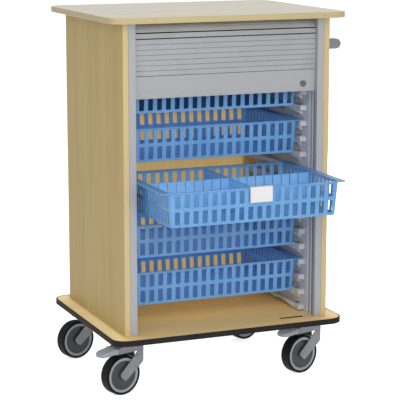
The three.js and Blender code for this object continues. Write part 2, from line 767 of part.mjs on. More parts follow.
const crownFoot = wheelRadius + tyreVertex + crownOverWheel;
const crownTop = crownFoot + crownThickness;
const plateFoot = castorHeight - seatGap - plateThickness;
const hoodTop = crownFoot + crownHood;
const fromAxle = ([along, up]) => [castorTrail + along, wheelRadius + up];
const legOutline = [
  [-crownFront, crownFoot + 2],
  [-crownFront, wheelRadius + legKnee],
  ...[legHeel, legToe, legTip, legArch].map(fromAxle),
  [castorTrail + legArch[0] - (crownFoot + 2 - wheelRadius - legArch[1]) / 2, crownFoot + 2],
];
const crownOutline = [
  [-crownFront, crownFoot],
  [crownEnd, crownFoot],
  [crownEnd, crownTop],
  [crownHoodLength - crownFront, hoodTop],
  [-crownFront, hoodTop],
];
const swivelHead = turned([
  [0, hoodTop - 2],
  [swivelRadius, hoodTop - 2],
  [swivelRadius, plateFoot - seatGap],
  [0, plateFoot - seatGap],
], 20);
const axleHole = turned([[0, -60], [boreRadius, -60], [boreRadius, 60], [0, 60]], 12)
  .rotateX(-Math.PI / 2).translate(castorTrail, 0, wheelRadius);
const forkGeometry = cut(
  join(
    prismAlongY(legOutline, [legInner, legOuter]),
    prismAlongY(legOutline, [-legOuter, -legInner]),
    prismAlongY(crownOutline, [-legOuter, legOuter]),
    swivelHead,
  ),
  axleHole,
);

// Brake pedal: a knuckle beside the crown and a broad tongue that falls to a round tip
const knuckleZ = (crownFoot + crownTop) / 2;
const tongueTip = knuckleX + pedalLength;
const tonguePoint = (share, up) => [
  knuckleX + pedalLength * share,
  knuckleZ - pedalDrop * share * share + up,
];
const pedalOutline = [];
for (let step = 0; step <= 6; step += 1) {
  const angle = Math.PI / 2 + (step / 6) * Math.PI;
  pedalOutline.push([knuckleX + pedalKnuckle * Math.cos(angle), knuckleZ + pedalKnuckle * Math.sin(angle)]);
}
for (const share of [0.35, 0.7, 1]) {
  pedalOutline.push(tonguePoint(share, -pedalThickness / 2));
}
for (const share of [1, 0.7, 0.35]) {
  pedalOutline.push(tonguePoint(share, pedalThickness / 2));
}
const tipMiddle = tongueTip - pedalWidth / 2;
const pedalPlan = [[knuckleX - pedalKnuckle - 1, -pedalWidth / 2]];
for (let step = 0; step <= 10; step += 1) {
  const angle = -Math.PI / 2 + (step / 10) * Math.PI;
  pedalPlan.push([tipMiddle + (pedalWidth / 2) * Math.cos(angle), (pedalWidth / 2) * Math.sin(angle)]);
}
pedalPlan.push([knuckleX - pedalKnuckle - 1, pedalWidth / 2]);
const pedalGeometry = common(
  prismAlongY(pedalOutline, around(0, pedalWidth + 2)),
  prismAlongZ(pedalPlan, [0, castorHeight]),
);

for (const [end, front] of [['front', -1], ['rear', 1]]) {
  for (const [word, side] of sides) {
    const name = `castor_${end}_${word}`;
    const x = side * castorX;
    const y = front * castorY;
    const plate = box(
      around(x, plateLength),
      around(y, plateWidth),
      [plateFoot, plateFoot + plateThickness],
    );
    place(part, `${name}_plate`, plate, zincSteel);

    const castor = new THREE.Group();
    castor.position.set(x, y, 0);
    castor.rotation.z = castorTurn;
    part.add(castor);
    place(castor, `${name}_fork`, forkGeometry, zincSteel);
    const hub = new THREE.Group();
    hub.position.set(castorTrail, 0, wheelRadius);
    hub.rotation.x = -Math.PI / 2;
    castor.add(hub);
    place(hub, `${name}_axle`, axleGeometry, zincSteel);
    const rolled = new THREE.Group();
    rolled.rotation.z = Math.PI / wheelSides;
    hub.add(rolled);
    place(rolled, `${name}_tyre`, tyreGeometry, tyreRubber);
    place(rolled, `${name}_wheel`, wheelGeometry, wheelPlastic);
    if (front < 0) {
      place(castor, `${name}_pedal`, pedalGeometry, pedalPlastic);
    }
  }
}

export default part;
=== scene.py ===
from math import acos, atan, copysign, cos, pi, radians, sin, sqrt, tan

import bmesh
import bpy
from mathutils import Matrix, Vector


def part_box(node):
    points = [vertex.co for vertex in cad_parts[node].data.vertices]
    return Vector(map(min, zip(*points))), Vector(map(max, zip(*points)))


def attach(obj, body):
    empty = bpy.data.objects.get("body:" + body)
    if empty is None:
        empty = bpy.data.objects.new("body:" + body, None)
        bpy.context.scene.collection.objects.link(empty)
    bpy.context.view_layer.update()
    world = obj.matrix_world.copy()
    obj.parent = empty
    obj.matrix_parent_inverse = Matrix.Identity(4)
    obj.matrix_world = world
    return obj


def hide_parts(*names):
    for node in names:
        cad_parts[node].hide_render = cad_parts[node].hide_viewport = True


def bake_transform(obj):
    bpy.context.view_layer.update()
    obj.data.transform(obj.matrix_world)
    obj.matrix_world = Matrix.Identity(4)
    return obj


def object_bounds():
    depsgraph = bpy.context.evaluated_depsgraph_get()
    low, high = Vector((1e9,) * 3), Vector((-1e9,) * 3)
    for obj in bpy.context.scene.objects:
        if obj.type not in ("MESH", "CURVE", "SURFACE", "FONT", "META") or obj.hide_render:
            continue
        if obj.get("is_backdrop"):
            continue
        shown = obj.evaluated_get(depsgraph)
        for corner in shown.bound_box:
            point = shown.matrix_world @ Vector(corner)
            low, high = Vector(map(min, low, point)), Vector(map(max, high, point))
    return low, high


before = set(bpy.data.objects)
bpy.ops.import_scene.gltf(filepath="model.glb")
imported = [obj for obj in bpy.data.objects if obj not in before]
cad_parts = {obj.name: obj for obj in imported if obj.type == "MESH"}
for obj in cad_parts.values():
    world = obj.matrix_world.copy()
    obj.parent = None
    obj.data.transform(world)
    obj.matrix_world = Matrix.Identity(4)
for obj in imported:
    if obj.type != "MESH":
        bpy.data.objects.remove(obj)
cad_low, cad_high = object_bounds()

# Sizes in millimetres, about the middle of the cabinet's plan. An ease is the radius of a softened edge, and
# the parts of one piece overlap so that they hold together
MM = 0.001
OVERLAP = 1
JOIN_DISTANCE = 0.001
EASE_STEPS = 3
SHARP_ANGLE = 50

# Camera: found by fitting the photograph's edges
CAMERA_PLACE = (-1973.3, -4752.8, 1516.9)
CAMERA_TURN = 22.73
CAMERA_DIP = 10.71
CAMERA_LENS = 145.6
CAMERA_SENSOR = 36

# Boards
BOARD_CORNER = 48
BOARD_CORNER_STEPS = 12
BOARD_EASE = 1.6
KEEPER_SLOT = (80, 13, 12)
KEEPER_PLACE = (230, -247.85)
BUMPER_THICKNESS = 4
BUMPER_EASE = 1.7

# Baskets: slots are [count, pitch, width]
TRAY_WIDTH = 600
TRAY_DEPTH = 400
TRAY_HEIGHT = 105
TRAY_WALL = 3
BODY_TOP = (552, 392)
BODY_FLOOR = (537, 380)
BODY_CORNER = 9
BODY_CORNER_STEPS = 6
FLANGE_THICKNESS = 4
FLANGE_CORNER = 10
FLANGE_EASE = 1.0
SLOT_HEIGHT = 39
SLOT_ROUND = 2.6
SLOT_ROUND_STEPS = 2
SLOT_TOP = 8
SLOT_ROWS = 2
SLOT_ROW_PITCH = 50
FRONT_SLOTS = (18, 29.3, 16)
SIDE_SLOTS = (15, 24.2, 13)
DIVIDER_EASE = 0.3
HOLDER_EASE = 0.35
CARD_EASE = 0.15

# Shutter: the rail's edges are [distance behind its face, distance from its foot or its top], and the
# lock's face is [distance inside its radius, depth]
SLAT_PITCH = 15.7
SLAT_GAP = 1.2
SLAT_THICKNESS = 8
SLAT_LENGTH = 624
SLAT_INSET = 0.5
SLAT_EASE = 0.9
SLAT_CHAMFER = 1
HOOK_PLACE = 3
HOOK_REACH = 0.6
BEND_RADIUS = 36
STORED_SLATS = 49
FRONT_SLATS = 7
SHADED_JOINTS = 2
JOINT_SHADE_HALF = 3
JOINT_SHADE_FIRST = 0.3
JOINT_SHADE_SETBACK = 2
JOINT_SHADE_INSET = 1
JOINT_SHADE_EASE = 0.2
SPARE_SLATS = 15
SPARE_SLIM = 1
SPARE_DROP = 1.2
SPARE_FOLD = 4
FOLD_TRIES = 40
SHUTTER_TRAVEL = 235
PATH_STEPS = 400
PROFILE_EASE = 0.5
PROFILE_LIP = 0.6
PROFILE_SLOT = 18
SLOT_SHADE_ROOM = 1
RAIL_HALF = 300
RAIL_FOOT = ((1.5, 0), (0.4, 0.4), (0, 1.5), (0, 5), (0.8, 5.6))
RAIL_HEAD = ((0.8, 1.2), (1.2, 0.4), (2, 0))
LOCK_RADIUS = 9.5
LOCK_SIDES = 40
LOCK_FACE = ((2.6, 0), (2.4, 0.5), (1.6, 0.5), (1.4, 0), (0.7, 0.1), (0.2, 0.5), (0, 1.1))
BORE_GAP = 0.2
BORE_HALF = 20
BORE_SIDES = 32
KEY_SLIT = ((-0.8, -4, -0.03), (0.8, 4, 2))
KEY_SLIT_EASE = 0.3
BOLT_GAP = 0.4
BOLT_PAST = 2
LATCH_EASE = 0.4

# Liners: a runner's upper edge is [inset, drop], and the wave of its underside is [distance back, rise]
RUNNER_COUNT = 17
RUNNER_PITCH = 50
RUNNER_INNER = 280
RUNNER_ROOT = 304
RUNNER_HEIGHT = 34
RUNNER_LIP = 12
RUNNER_EDGE = ((1.5, 0), (0.4, 0.4), (0, 1.5))
RUNNER_STEPS = 8
LOWEST_RUNNER = 260.2
LINER_SETBACK = 28
LINER_EASE = 0.8
LEDGE_START = 0.5
LEDGE_WAVE = ((0, 0), (16, 0), (93, 15), (142, 3), (235, 15), (284, 3))
NOSE_SETBACK = 21
NOSE_LENGTH = 29
NOSE_DEPTH = 19.5
NOSE_HEIGHT = 17
NOSE_EASE = 1.6

# Push handle
HANDLE_END_EASE = 1.8
HANDLE_BAR_EASE = 0.6

# Castors: their own zero is on the floor under the swivel axis, with the wheel trailing along +X. Outlines
# are [x, z, corner], profiles are [radius, height], and the axle's head is [radius, height past the leg]
CASTOR_TURN = 196.2
CASTOR_TRAIL = 40
WHEEL_RADIUS = 62.5
WHEEL_SIDES = 72
TYRE_SIDES = 96
TYRE_PROFILE = [
    (54.6, 17), (55.6, 18.2), (57, 19), (59.5, 18.7), (61.3, 17.4), (62.2, 15), (62.5, 12), (62.5, 1.2),
    (62, 0.6)]
RING_PROFILE = [(46, 15), (46.6, 16.6), (47.6, 17), (53.2, 17), (54.4, 16.2), (54.5, 14)]
DISC_PROFILE = [
    (8, 19.6), (14, 19.6), (15, 18.6), (15.4, 15), (24, 14.4), (25, 15), (27, 15), (28, 14.4), (40, 14),
    (46.4, 15)]
LEG_INNER = 20.3
LEG_OUTER = 24.8
LEG_STEP = 0.3
LEG_OUTLINE = [(-31, 140, 0), (-31, 97.6, 12), (37.6, 43.8, 6), (59.8, 64.6, 11), (-17.6, 140, 0)]
FORK_EASE = 1.2
CROWN_SHARP = 70
CROWN_BACK = -31
CROWN_FOOT = 134
CROWN_TOP = 161.5
CROWN_END = 63.5
CROWN_END_TOP = 152
CROWN_SLOPE_START = 20
CROWN_SLOPE_CORNER = 12
CROWN_BACK_CORNER = 2.5
PLAIN_CROWN_END = 38
PLAIN_CROWN_TOP = 158
PLAIN_CROWN_CORNER = 5
SWIVEL_SIDES = 56
SWIVEL_PROFILE = [
    (0, 158), (33, 158), (35, 159.4), (36, 161), (36, 162.6), (34, 163), (34, 164.4), (36, 164.8),
    (36, 166.3), (0, 166.3)]
AXLE_GAP = 0.3
AXLE_SIDES = 24
AXLE_HEAD = [(0, 1.2), (6, 1.2), (7.4, 0.8), (8, 0.2), (8, 0), (6, 0)]
KNUCKLE = (69.9, 143)
KNUCKLE_RADIUS = 9.5
KNUCKLE_GAP = 0.6
KNUCKLE_CORNER = 1.5
KNUCKLE_SIDES = 40
HOLLOW_STEPS = 8
SHOE_ENDS = (2, 59)
SHOE_GAP = 2.5
SHOE_STEPS = 12
SHOE_EASE = 0.8
PEDAL_LENGTH = 56.4
PEDAL_WIDTH = 49
PEDAL_TIP = 12
PEDAL_DROP = 7
PEDAL_STEPS = 24
PEDAL_SQUARENESS = 0.6
PEDAL_END = 0.998
PEDAL_THINNING = 0.5
PLATE = (105, 85)
PLATE_CORNER = 9
PLATE_CORNER_STEPS = 5
PLATE_FOOT = 166.7
PLATE_TOP = 170.7
PLATE_EASE = 0.8
BOLT_PLACE = (41, 31)
BOLT_HEAD = [(0, -4.4), (5.2, -4.4), (6, -3.8), (6, -1.2), (0, -1.2)]
BOLT_HEAD_SIDES = 6
BOLT_WASHER = [(0, -1.2), (7.6, -1.2), (8, -0.8), (8, 0.2), (0, 0.2)]
BOLT_WASHER_SIDES = 18

# Patterns of the materials, in metres. Grain is [width, length, strength]
MAPLE_GRAINS = ((0.003, 0.16, 0.24), (0.014, 0.6, 0.36), (0.07, 1.4, 0.40))
MOULD_FLOW = 0.09
MOULD_GRAIN = 0.0016
MOULD_DEPTH = 0.00025
LINE_WIDTH = 0.001
LINE_LENGTH = 0.3
ZINC_CRYSTAL = 0.005
ZINC_BLOOM = 0.03
CARD_FIBRE = 0.0012

# Light: lamps are [name, place, aim, size, power] in metres and watts
WHITE = "FFFFFF"
FILL_LIGHT = 0.6
FILL_COLOUR = "FAFBFF"
FLOOR_COLOUR = "EAEAEA"
FLOOR_GLOW = 0.68
FLOOR_HALF = 60
FRONT_DISTANCE = 1.04
FRONT_LAMP = ((0, 0, 0.6), (0.4, 0.4), 46)
LAMPS = (
    ("upper_lamp", (-0.5, -3.4, 2.3), (0, 0, 0.5), (1.4, 1.4), 30),
    ("low_lamp", (-0.3, -1.5, 1.0), (0, -0.25, 0.19), (1.0, 0.3), 3),
    ("left_lamp", (-2.8, -2.0, 2.4), (0.3, -0.1, 0.6), (1.2, 1.2), 10),
    ("rear_lamp", (3.0, 3.2, 1.3), (0, 0, 0.6), (1.6, 1.6), 75))

# Thin lamps: a glow is [share of white, colour], and places are in millimetres
BACKWARD = (0, 1, 0)
DOWNWARD = (0, 0, -1)
BACK_GLOW = (0.42, WHITE)
BACK_LAMP_X = (-270, 270)
BACK_LAMP_Z = (215, 805)
BACK_LAMP_GAP = 5
BASE_GLOW = (0.27, "FFE7D3")
BASE_LAMP_X = (-265, 265)
BASE_LAMP_ENDS = (30, 10)
BASE_LAMP_DROP = 4
BASKET_GLOWS = {
    1: (0.12, "A0CCFF"), 2: (0.55, "A0CCFF"), 3: (0.3, "FFF4E8"), 4: (0.64, "A0CCFF"), 5: (0.58, "A0CCFF")}
BASKET_LAMP_X = (-260, 260)
BASKET_LAMP_ENDS = 15
BASKET_LAMP_DROP = 8
SHUTTER_GLOW = (0.34, "FFF2E6")
SHUTTER_LAMP_ENDS = 12
SHUTTER_LAMP_GAP = 3
SHUTTER_LAMP_DROPS = (34, 2)
STRIP_GLOW = (0.48, "8CD0FF")
STRIP_LAMP_SIDES = (2, 4)
STRIP_LAMP_ENDS = 10
STRIP_LAMP_LIFT = 4

scene = bpy.context.scene
plan_low, plan_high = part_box("top_board")
MIDDLE = Vector(((plan_low.x + plan_high.x) / 2, (plan_low.y + plan_high.y) / 2, 0))
TO_ROW = Matrix.Translation(MIDDLE) @ Matrix.Scale(MM, 4)
FROM_ROW = TO_ROW.inverted()


def box_mm(node):
    """A CAD node's lowest and highest corners in millimetres about the cabinet's middle."""
    low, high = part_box(node)
    return FROM_ROW @ low, FROM_ROW @ high


def linear(code):
    """An sRGB hex colour as linear RGBA."""
    parts = [int(code[index:index + 2], 16) / 255 for index in (0, 2, 4)]
    return (*(c / 12.92 if c <= 0.04045 else ((c + 0.055) / 1.055) ** 2.4 for c in parts), 1.0)


def add(tree, kind, inputs=None, **settings):
    """Adds a node with its settings; an input is a value, or the sockets or nodes that feed it."""
    node = tree.nodes.new(kind)
    for name, value in settings.items():
        setattr(node, name, value)
    for key, value in (inputs or {}).items():
        for feed in value if isinstance(value, list) else [value]:
            if isinstance(feed, bpy.types.Node):
                feed = feed.outputs[0]
            if isinstance(feed, bpy.types.NodeSocket):
                tree.links.new(feed, node.inputs[key])
            else:
                node.inputs[key].default_value = feed
    return node


def start_nodes(owner):
    owner.use_nodes = True
    owner.node_tree.nodes.clear()
    return owner, owner.node_tree


def start_material(name):
    """Starts a material, with the object's own coordinates for its patterns."""
    made, tree = start_nodes(bpy.data.materials.new(name))
    return made, tree, add(tree, "ShaderNodeTexCoord").outputs["Object"]


def finish_surface(made, tint, colours, pattern, gloss, relief, **optics):
    """Ends a material: a tint blends two colours, and a pattern drives the gloss and the relief."""
    tree = made.node_tree
    colour = add(tree, "ShaderNodeMix", {
        0: tint, 6: linear(colours[0]), 7: linear(colours[1])}, data_type="RGBA")
    rough = add(tree, "ShaderNodeMapRange", {"Value": pattern, "To Min": gloss[0], "To Max": gloss[1]})
    bump = add(tree, "ShaderNodeBump", {"Height": pattern, "Strength": relief[0], "Distance": relief[1]})
    surface = add(tree, "ShaderNodeBsdfPrincipled", {
        "Base Color": colour.outputs[2], "Roughness": rough, "Normal": bump, **optics})
    add(tree, "ShaderNodeOutputMaterial", {"Surface": surface})
    return made


def stretched(tree, place, along, width, length):
    """Coordinates scaled to a width, and to a length along one axis."""
    scale = Vector((1 / width, 1 / width, 1 / width))
    scale["XYZ".index(along)] = 1 / length
    return add(tree, "ShaderNodeMapping", {"Vector": place, "Scale": scale})


# Maple-pattern melamine on chipboard: a printed decor, so the grain is faint, long and flat, under a
# satin film that goes pale at a low angle. Pores are 3 mm wide here, where real ones are too fine to show
def maple_laminate(name, along, pale, dark, roughness, ior=1.5):
    made, tree, place = start_material(name)
    shade = pores = None
    for width, length, strength in MAPLE_GRAINS:
        grain = add(tree, "ShaderNodeTexNoise", {
            "Vector": stretched(tree, place, along, width, length), "Scale": 1.0, "Detail": 3.0,
            "Roughness": 0.55})
        spread = add(tree, "ShaderNodeMapRange", {
            "Value": grain, "From Min": 0.3, "From Max": 0.7, "To Min": 0.0, "To Max": strength})
        pores = pores or grain
        shade = add(tree, "ShaderNodeMath", {0: shade, 1: spread}, operation="ADD") if shade else spread
    return finish_surface(
        made, shade, (pale, dark), pores, (roughness - 0.05, roughness + 0.08), (0.12, 0.0004), IOR=ior)


# Moulded plastic: a slow drift in colour where the melt flowed, and the fine spark-etched grain of the
# mould, drawn coarser than the real 0.3 mm so that it shows
def moulded_plastic(name, pale, dark, roughness, flow=MOULD_FLOW, grain=MOULD_GRAIN, depth=MOULD_DEPTH,
                    ior=1.5):
    made, tree, place = start_material(name)
    drift = add(tree, "ShaderNodeTexNoise", {
        "Vector": place, "Scale": 1 / flow, "Detail": 2.0, "Roughness": 0.5})
    spread = add(tree, "ShaderNodeMapRange", {"Value": drift, "From Min": 0.3, "From Max": 0.7})
    etch = add(tree, "ShaderNodeTexNoise", {
        "Vector": place, "Scale": 1 / grain, "Detail": 2.0, "Roughness": 0.6})
    return finish_surface(
        made, spread, (pale, dark), etch, (roughness - 0.07, roughness + 0.07), (0.35, depth), IOR=ior)


# Metal worked in one direction, drawn through a die or rubbed with a belt: fine lines along it, which
# break up the gloss across it. Lines are 1 mm apart here, where real ones are too fine to show
def drawn_metal(name, along, pale, dark, roughness, metallic):
    made, tree, place = start_material(name)
    lines = add(tree, "ShaderNodeTexNoise", {
        "Vector": stretched(tree, place, along, LINE_WIDTH, LINE_LENGTH), "Scale": 1.0, "Detail": 3.0,
        "Roughness": 0.6})
    return finish_surface(
        made, lines, (pale, dark), lines, (roughness - 0.08, roughness + 0.08), (0.15, 0.0002),
        Metallic=metallic)


# Passivated zinc on pressed steel: a soft grey bloom of small crystals and some duller patches
def zinc_plate(name, pale, dark, roughness, metallic):
    made, tree, place = start_material(name)
    crystals = add(tree, "ShaderNodeTexVoronoi", {"Vector": place, "Scale": 1 / ZINC_CRYSTAL}, feature="F1")
    bloom = add(tree, "ShaderNodeTexNoise", {"Vector": place, "Scale": 1 / ZINC_BLOOM, "Detail": 4.0})
    mixed = add(tree, "ShaderNodeMath", {0: bloom, 1: crystals, 2: 0.15}, operation="MULTIPLY_ADD")
    return finish_surface(
        made, mixed, (pale, dark), bloom, (roughness - 0.1, roughness + 0.1), (0.1, 0.0006),
        Metallic=metallic)


# Card stock: matt, with short fibres that lie every way
def card_stock(name, pale, dark, roughness):
    made, tree, place = start_material(name)
    fibres = add(tree, "ShaderNodeTexNoise", {
        "Vector": place, "Scale": 1 / CARD_FIBRE, "Detail": 4.0, "Distortion": 1.5})
    return finish_surface(made, fibres, (pale, dark), fibres, (roughness, roughness), (0.2, 0.0001))


# Painted shade: the lying faces are a greyer, darker copy of the film than the upright boards, to offset the
# sheen on the top
maple_flat_shaded = maple_laminate("maple_melamine_lying_shaded", "X", "BFB188", "AD9C6D", 0.22)
maple_upright = maple_laminate("maple_melamine_upright", "Z", "C1AB70", "B0955A", 0.45, ior=1.25)
maple_edge = maple_laminate("maple_abs_edge_band", "X", "C0B187", "B4A173", 0.42, ior=1.3)
maple_edge_upright = maple_laminate("maple_abs_edge_band_upright", "Z", "CBB585", "BFA977", 0.38)
# Painted light: the inner back board is a brighter, more golden copy of the film than the upright boards
maple_inside_lit = maple_laminate("maple_melamine_inside_lit", "Z", "E0BB74", "CEA458", 0.45)
# Painted light: the base board is a paler copy of the film than the upright boards, lifting it in the shade
# under the cabinet
maple_base_lit = maple_laminate("maple_melamine_base_lit", "X", "F3D094", "E6BC77", 0.45, ior=1.25)
# A plain pale sheet of the same film, pressed on the side that isn't seen
backing_sheet = maple_laminate("melamine_backing_sheet", "X", "EFEDE8", "E6E3DC", 0.5)
edge_vinyl = moulded_plastic("soft_black_vinyl", "2C2B2A", "252423", 0.6, ior=1.16)
anodised_aluminium = drawn_metal("anodised_aluminium", "Z", "A8A9AB", "9D9EA1", 0.5, 0.15)
# Painted light: a lighter copy of the anodised aluminium, for the profiles' inner sides behind the slot
painted_lit_aluminium = drawn_metal("painted_lit_aluminium", "Z", "DCDDE0", "D0D1D5", 0.45, 0.15)
anodised_rail = drawn_metal("anodised_aluminium_rail", "X", "A5A6A8", "9C9D9F", 0.5, 0.15)
slat_plastic = moulded_plastic("extruded_pvc_slats", "A2A4A6", "9A9C9F", 0.45)
liner_plastic = moulded_plastic("moulded_abs_liner", "C9CACC", "BCBDC1", 0.45)
basket_plastic = moulded_plastic("moulded_blue_polypropylene", "679AC9", "5D90C1", 0.38, flow=0.05)
# Painted light: the dividers are a lighter copy of the baskets' plastic, lifting their shaded faces
divider_plastic_lit = moulded_plastic("moulded_blue_divider_lit", "74A8DA", "6AA0D2", 0.36, flow=0.05)
label_plastic = moulded_plastic("clear_white_styrene", "CDCED5", "C4C5CC", 0.25)
label_paper = card_stock("white_card", "DCDADB", "D3D1D2", 0.85)
nickel_plate = zinc_plate("nickel_plated_zinc", "6E7072", "545658", 0.28, 0.9)
# Painted shade: black for the lock's key slit and for the keeper slot in the base board
slot_shade_black = moulded_plastic("black_painted_slot_shade", "1A1A1B", "121213", 0.5)
# Painted shade for the open joints of the shutter and for the slot in the front profiles: matt, with a fine
# grain
joint_shade_black = moulded_plastic("black_painted_joint_shade", "1C1C1C", "121212", 0.8, grain=0.001, ior=1.2)
slot_shade_grey = moulded_plastic("grey_painted_slot_shade", "7E8084", "74767A", 0.8, grain=0.001, ior=1.2)
handle_plastic = moulded_plastic("grey_nylon_handle", "7C7F83", "707378", 0.45)
castor_zinc = zinc_plate("zinc_plated_steel", "86888C", "75777A", 0.45, 0.4)
pedal_plastic = moulded_plastic("grey_nylon_pedal", "979BA1", "8A8E94", 0.42)
# Rubber: nearly black, with a coarser grain than plastic and a dull sheen
tyre_rubber = moulded_plastic("black_tyre_rubber", "0D0D0E", "09090A", 0.6, grain=0.002, depth=0.0005,
                              ior=1.25)
ring_plastic = moulded_plastic("grey_wheel_rim", "9A9C9F", "8F9093", 0.4)
disc_plastic = moulded_plastic("dark_wheel_disc", "323436", "2A2C2F", 0.45)
keeper_steel = zinc_plate("keeper_steel", "77797C", "5E6063", 0.4, 0.8)


# Shapes: each is a mesh in millimetres
CORNERS = ((1, 1), (-1, 1), (-1, -1), (1, -1))


def shift(place):
    return Matrix.Translation(place)


def turn(angle, axis):
    return Matrix.Rotation(angle, 4, axis)


def close_faces(shape):
    bmesh.ops.remove_doubles(shape, verts=shape.verts, dist=JOIN_DISTANCE)
    bmesh.ops.recalc_face_normals(shape, faces=shape.faces)
    return shape


def prism(outline, low, high, axis="Z"):
    """An outline carried along an axis: [y, z] along X, [x, z] along Y or [x, y] along Z."""
    place = "XYZ".index(axis)
    return loft([[(*point[:place], end, *point[place:]) for point in outline] for end in (low, high)])


def block(low, high):
    outline = [(low[0], low[1]), (high[0], low[1]), (high[0], high[1]), (low[0], high[1])]
    return prism(outline, low[2], high[2])


def loft(rings, ends=True):
    """A skin through rings of points, closed at both ends."""
    shape = bmesh.new()
    rows = [[shape.verts.new(point) for point in ring] for ring in rings]
    for near, far in zip(rows, rows[1:]):
        for index in range(len(near)):
            after = (index + 1) % len(near)
            shape.faces.new((near[index], near[after], far[after], far[index]))
    if ends:
        shape.faces.new(rows[0])
        shape.faces.new(rows[-1])
    return close_faces(shape)


def turned(profile, sides):
    """A closed outline of [radius, height] points turned about Z."""
    rings = []
    for step in range(sides + 1):
        angle = 2 * pi * step / sides
        rings.append([(r * cos(angle), r * sin(angle), h) for r, h in profile])
    return loft(rings, ends=False)


def rounded_rectangle(width, depth, radius, steps=8):
    return filleted([(right * width / 2, back * depth / 2, radius) for right, back in CORNERS], steps)


def filleted(points, steps=5):
    """An outline of [a, b, radius] points with each corner rounded to its radius."""
    outline = []
    for index, (a, b, radius) in enumerate(points):
        if radius == 0:
            outline.append((a, b))
            continue
        corner = Vector((a, b))
        before = (Vector(points[index - 1][:2]) - corner).normalized()
        after = (Vector(points[(index + 1) % len(points)][:2]) - corner).normalized()
        half = before.angle(after) / 2
        inward = (before + after).normalized() / sin(half)
        start, end = (arm / tan(half) - inward for arm in (before, after))
        outline += [tuple(corner + (inward + start.slerp(end, step / steps)) * radius)
                    for step in range(steps + 1)]
    return outline


def soften(shape, width, segments=EASE_STEPS, above=40):
    """Rounds every edge that is sharper than an angle."""
    edges = [edge for edge in shape.edges
             if len(edge.link_faces) == 2 and edge.calc_face_angle() > radians(above)]
    bmesh.ops.bevel(shape, geom=edges, offset=width, segments=segments, profile=0.5,
                    affect="EDGES", clamp_overlap=True)
    return shape


def moved(shape, matrix):
    bmesh.ops.transform(shape, matrix=matrix, verts=shape.verts)
    if matrix.determinant() < 0:
        bmesh.ops.reverse_faces(shape, faces=shape.faces)
    return shape


def painted(shape, index, wanted=lambda face: True):
    for face in shape.faces:
        if wanted(face):
            face.material_index = index
    return shape


def plain_mesh(shape, name):
    mesh = bpy.data.meshes.new(name)
    shape.to_mesh(mesh)
    shape.free()
    return mesh


def from_mesh(mesh):
    shape = bmesh.new()
    shape.from_mesh(mesh)
    return shape


def merge(*shapes):
    whole = bmesh.new()
    for shape in shapes:
        mesh = plain_mesh(shape, "merging")
        whole.from_mesh(mesh)
        bpy.data.meshes.remove(mesh)
    return whole


def cad_copy(node):
    """A CAD node's shape with its triangles joined into whole faces."""
    shape = from_mesh(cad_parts[node].data)
    moved(shape, FROM_ROW)
    bmesh.ops.remove_doubles(shape, verts=shape.verts, dist=0.01)
    bmesh.ops.dissolve_limit(shape, angle_limit=radians(1), verts=shape.verts, edges=shape.edges)
    return shape


def evaluated(holder):
    graph = bpy.context.evaluated_depsgraph_get()
    mesh = bpy.data.meshes.new_from_object(holder.evaluated_get(graph), depsgraph=graph)
    holder.modifiers.clear()
    return mesh


def shown(name, data):
    """A new object in the scene."""
    made = bpy.data.objects.new(name, data)
    scene.collection.objects.link(made)
    return made


def cut(shape, tool):
    """A shape with another one taken out of it."""
    holders = [shown(name, plain_mesh(part, name)) for name, part in (("cutting", shape), ("cutter", tool))]
    saw = holders[0].modifiers.new("saw", "BOOLEAN")
    saw.operation = "DIFFERENCE"
    saw.solver = "EXACT"
    saw.object = holders[1]
    left = from_mesh(evaluated(holders[0]))
    for holder in holders:
        bpy.data.objects.remove(holder)
    return left


def piece(name, shape, materials, body, nodes=()):
    """Makes a shape an object that moves with a body and stands for CAD nodes."""
    moved(shape, TO_ROW)
    mesh = plain_mesh(shape, name)
    for material in materials:
        mesh.materials.append(material)
    mesh.shade_smooth()
    mesh.set_sharp_from_angle(angle=radians(SHARP_ANGLE))
    made = shown(name, mesh)
    even = made.modifiers.new("even_faces", "WEIGHTED_NORMAL")
    even.keep_sharp = True
    made.data = evaluated(made)
    made.data.name = name
    if body:
        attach(made, body)
    if nodes:
        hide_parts(*nodes)
    return made


def eased_copy(name, node, ease, material, body, segments=EASE_STEPS):
    """Makes a piece that is a CAD node with softened edges."""
    piece(name, soften(cad_copy(node), ease, segments), [material], body, [node])


# Geometry Nodes
def start_tree(name, **inputs):
    """Starts a tree whose inputs, other than the material, are listed by their kind."""
    tree = bpy.data.node_groups.new(name, "GeometryNodeTree")
    tree.interface.new_socket("Geometry", in_out="OUTPUT", socket_type="NodeSocketGeometry")
    tree.interface.new_socket("Geometry", in_out="INPUT", socket_type="NodeSocketGeometry")
    for kind, labels in (*inputs.items(), ("Material", ["Material"])):
        for label in labels:
            tree.interface.new_socket(label, in_out="INPUT", socket_type="NodeSocket" + kind)
    return tree, add(tree, "NodeGroupInput").outputs


def end_tree(tree, geometry, material):
    whole = add(tree, "GeometryNodeRealizeInstances", {"Geometry": geometry})
    dressed = add(tree, "GeometryNodeSetMaterial", {"Geometry": whole, "Material": material})
    add(tree, "NodeGroupOutput", {"Geometry": dressed})
    return tree


def grown(tree, values, start=None):
    """The shape that a tree makes from its inputs."""
    holder = shown("growing", start or bpy.data.meshes.new("growing"))
    modifier = holder.modifiers.new("growing", "NODES")
    modifier.node_group = tree
    for item in tree.interface.items_tree:
        if item.in_out == "INPUT" and item.name in values:
            value = values[item.name]
            modifier[item.identifier] = float(value) if item.socket_type == "NodeSocketFloat" else value
    shape = from_mesh(evaluated(holder))
    bpy.data.objects.remove(holder)
    return painted(shape, 0)


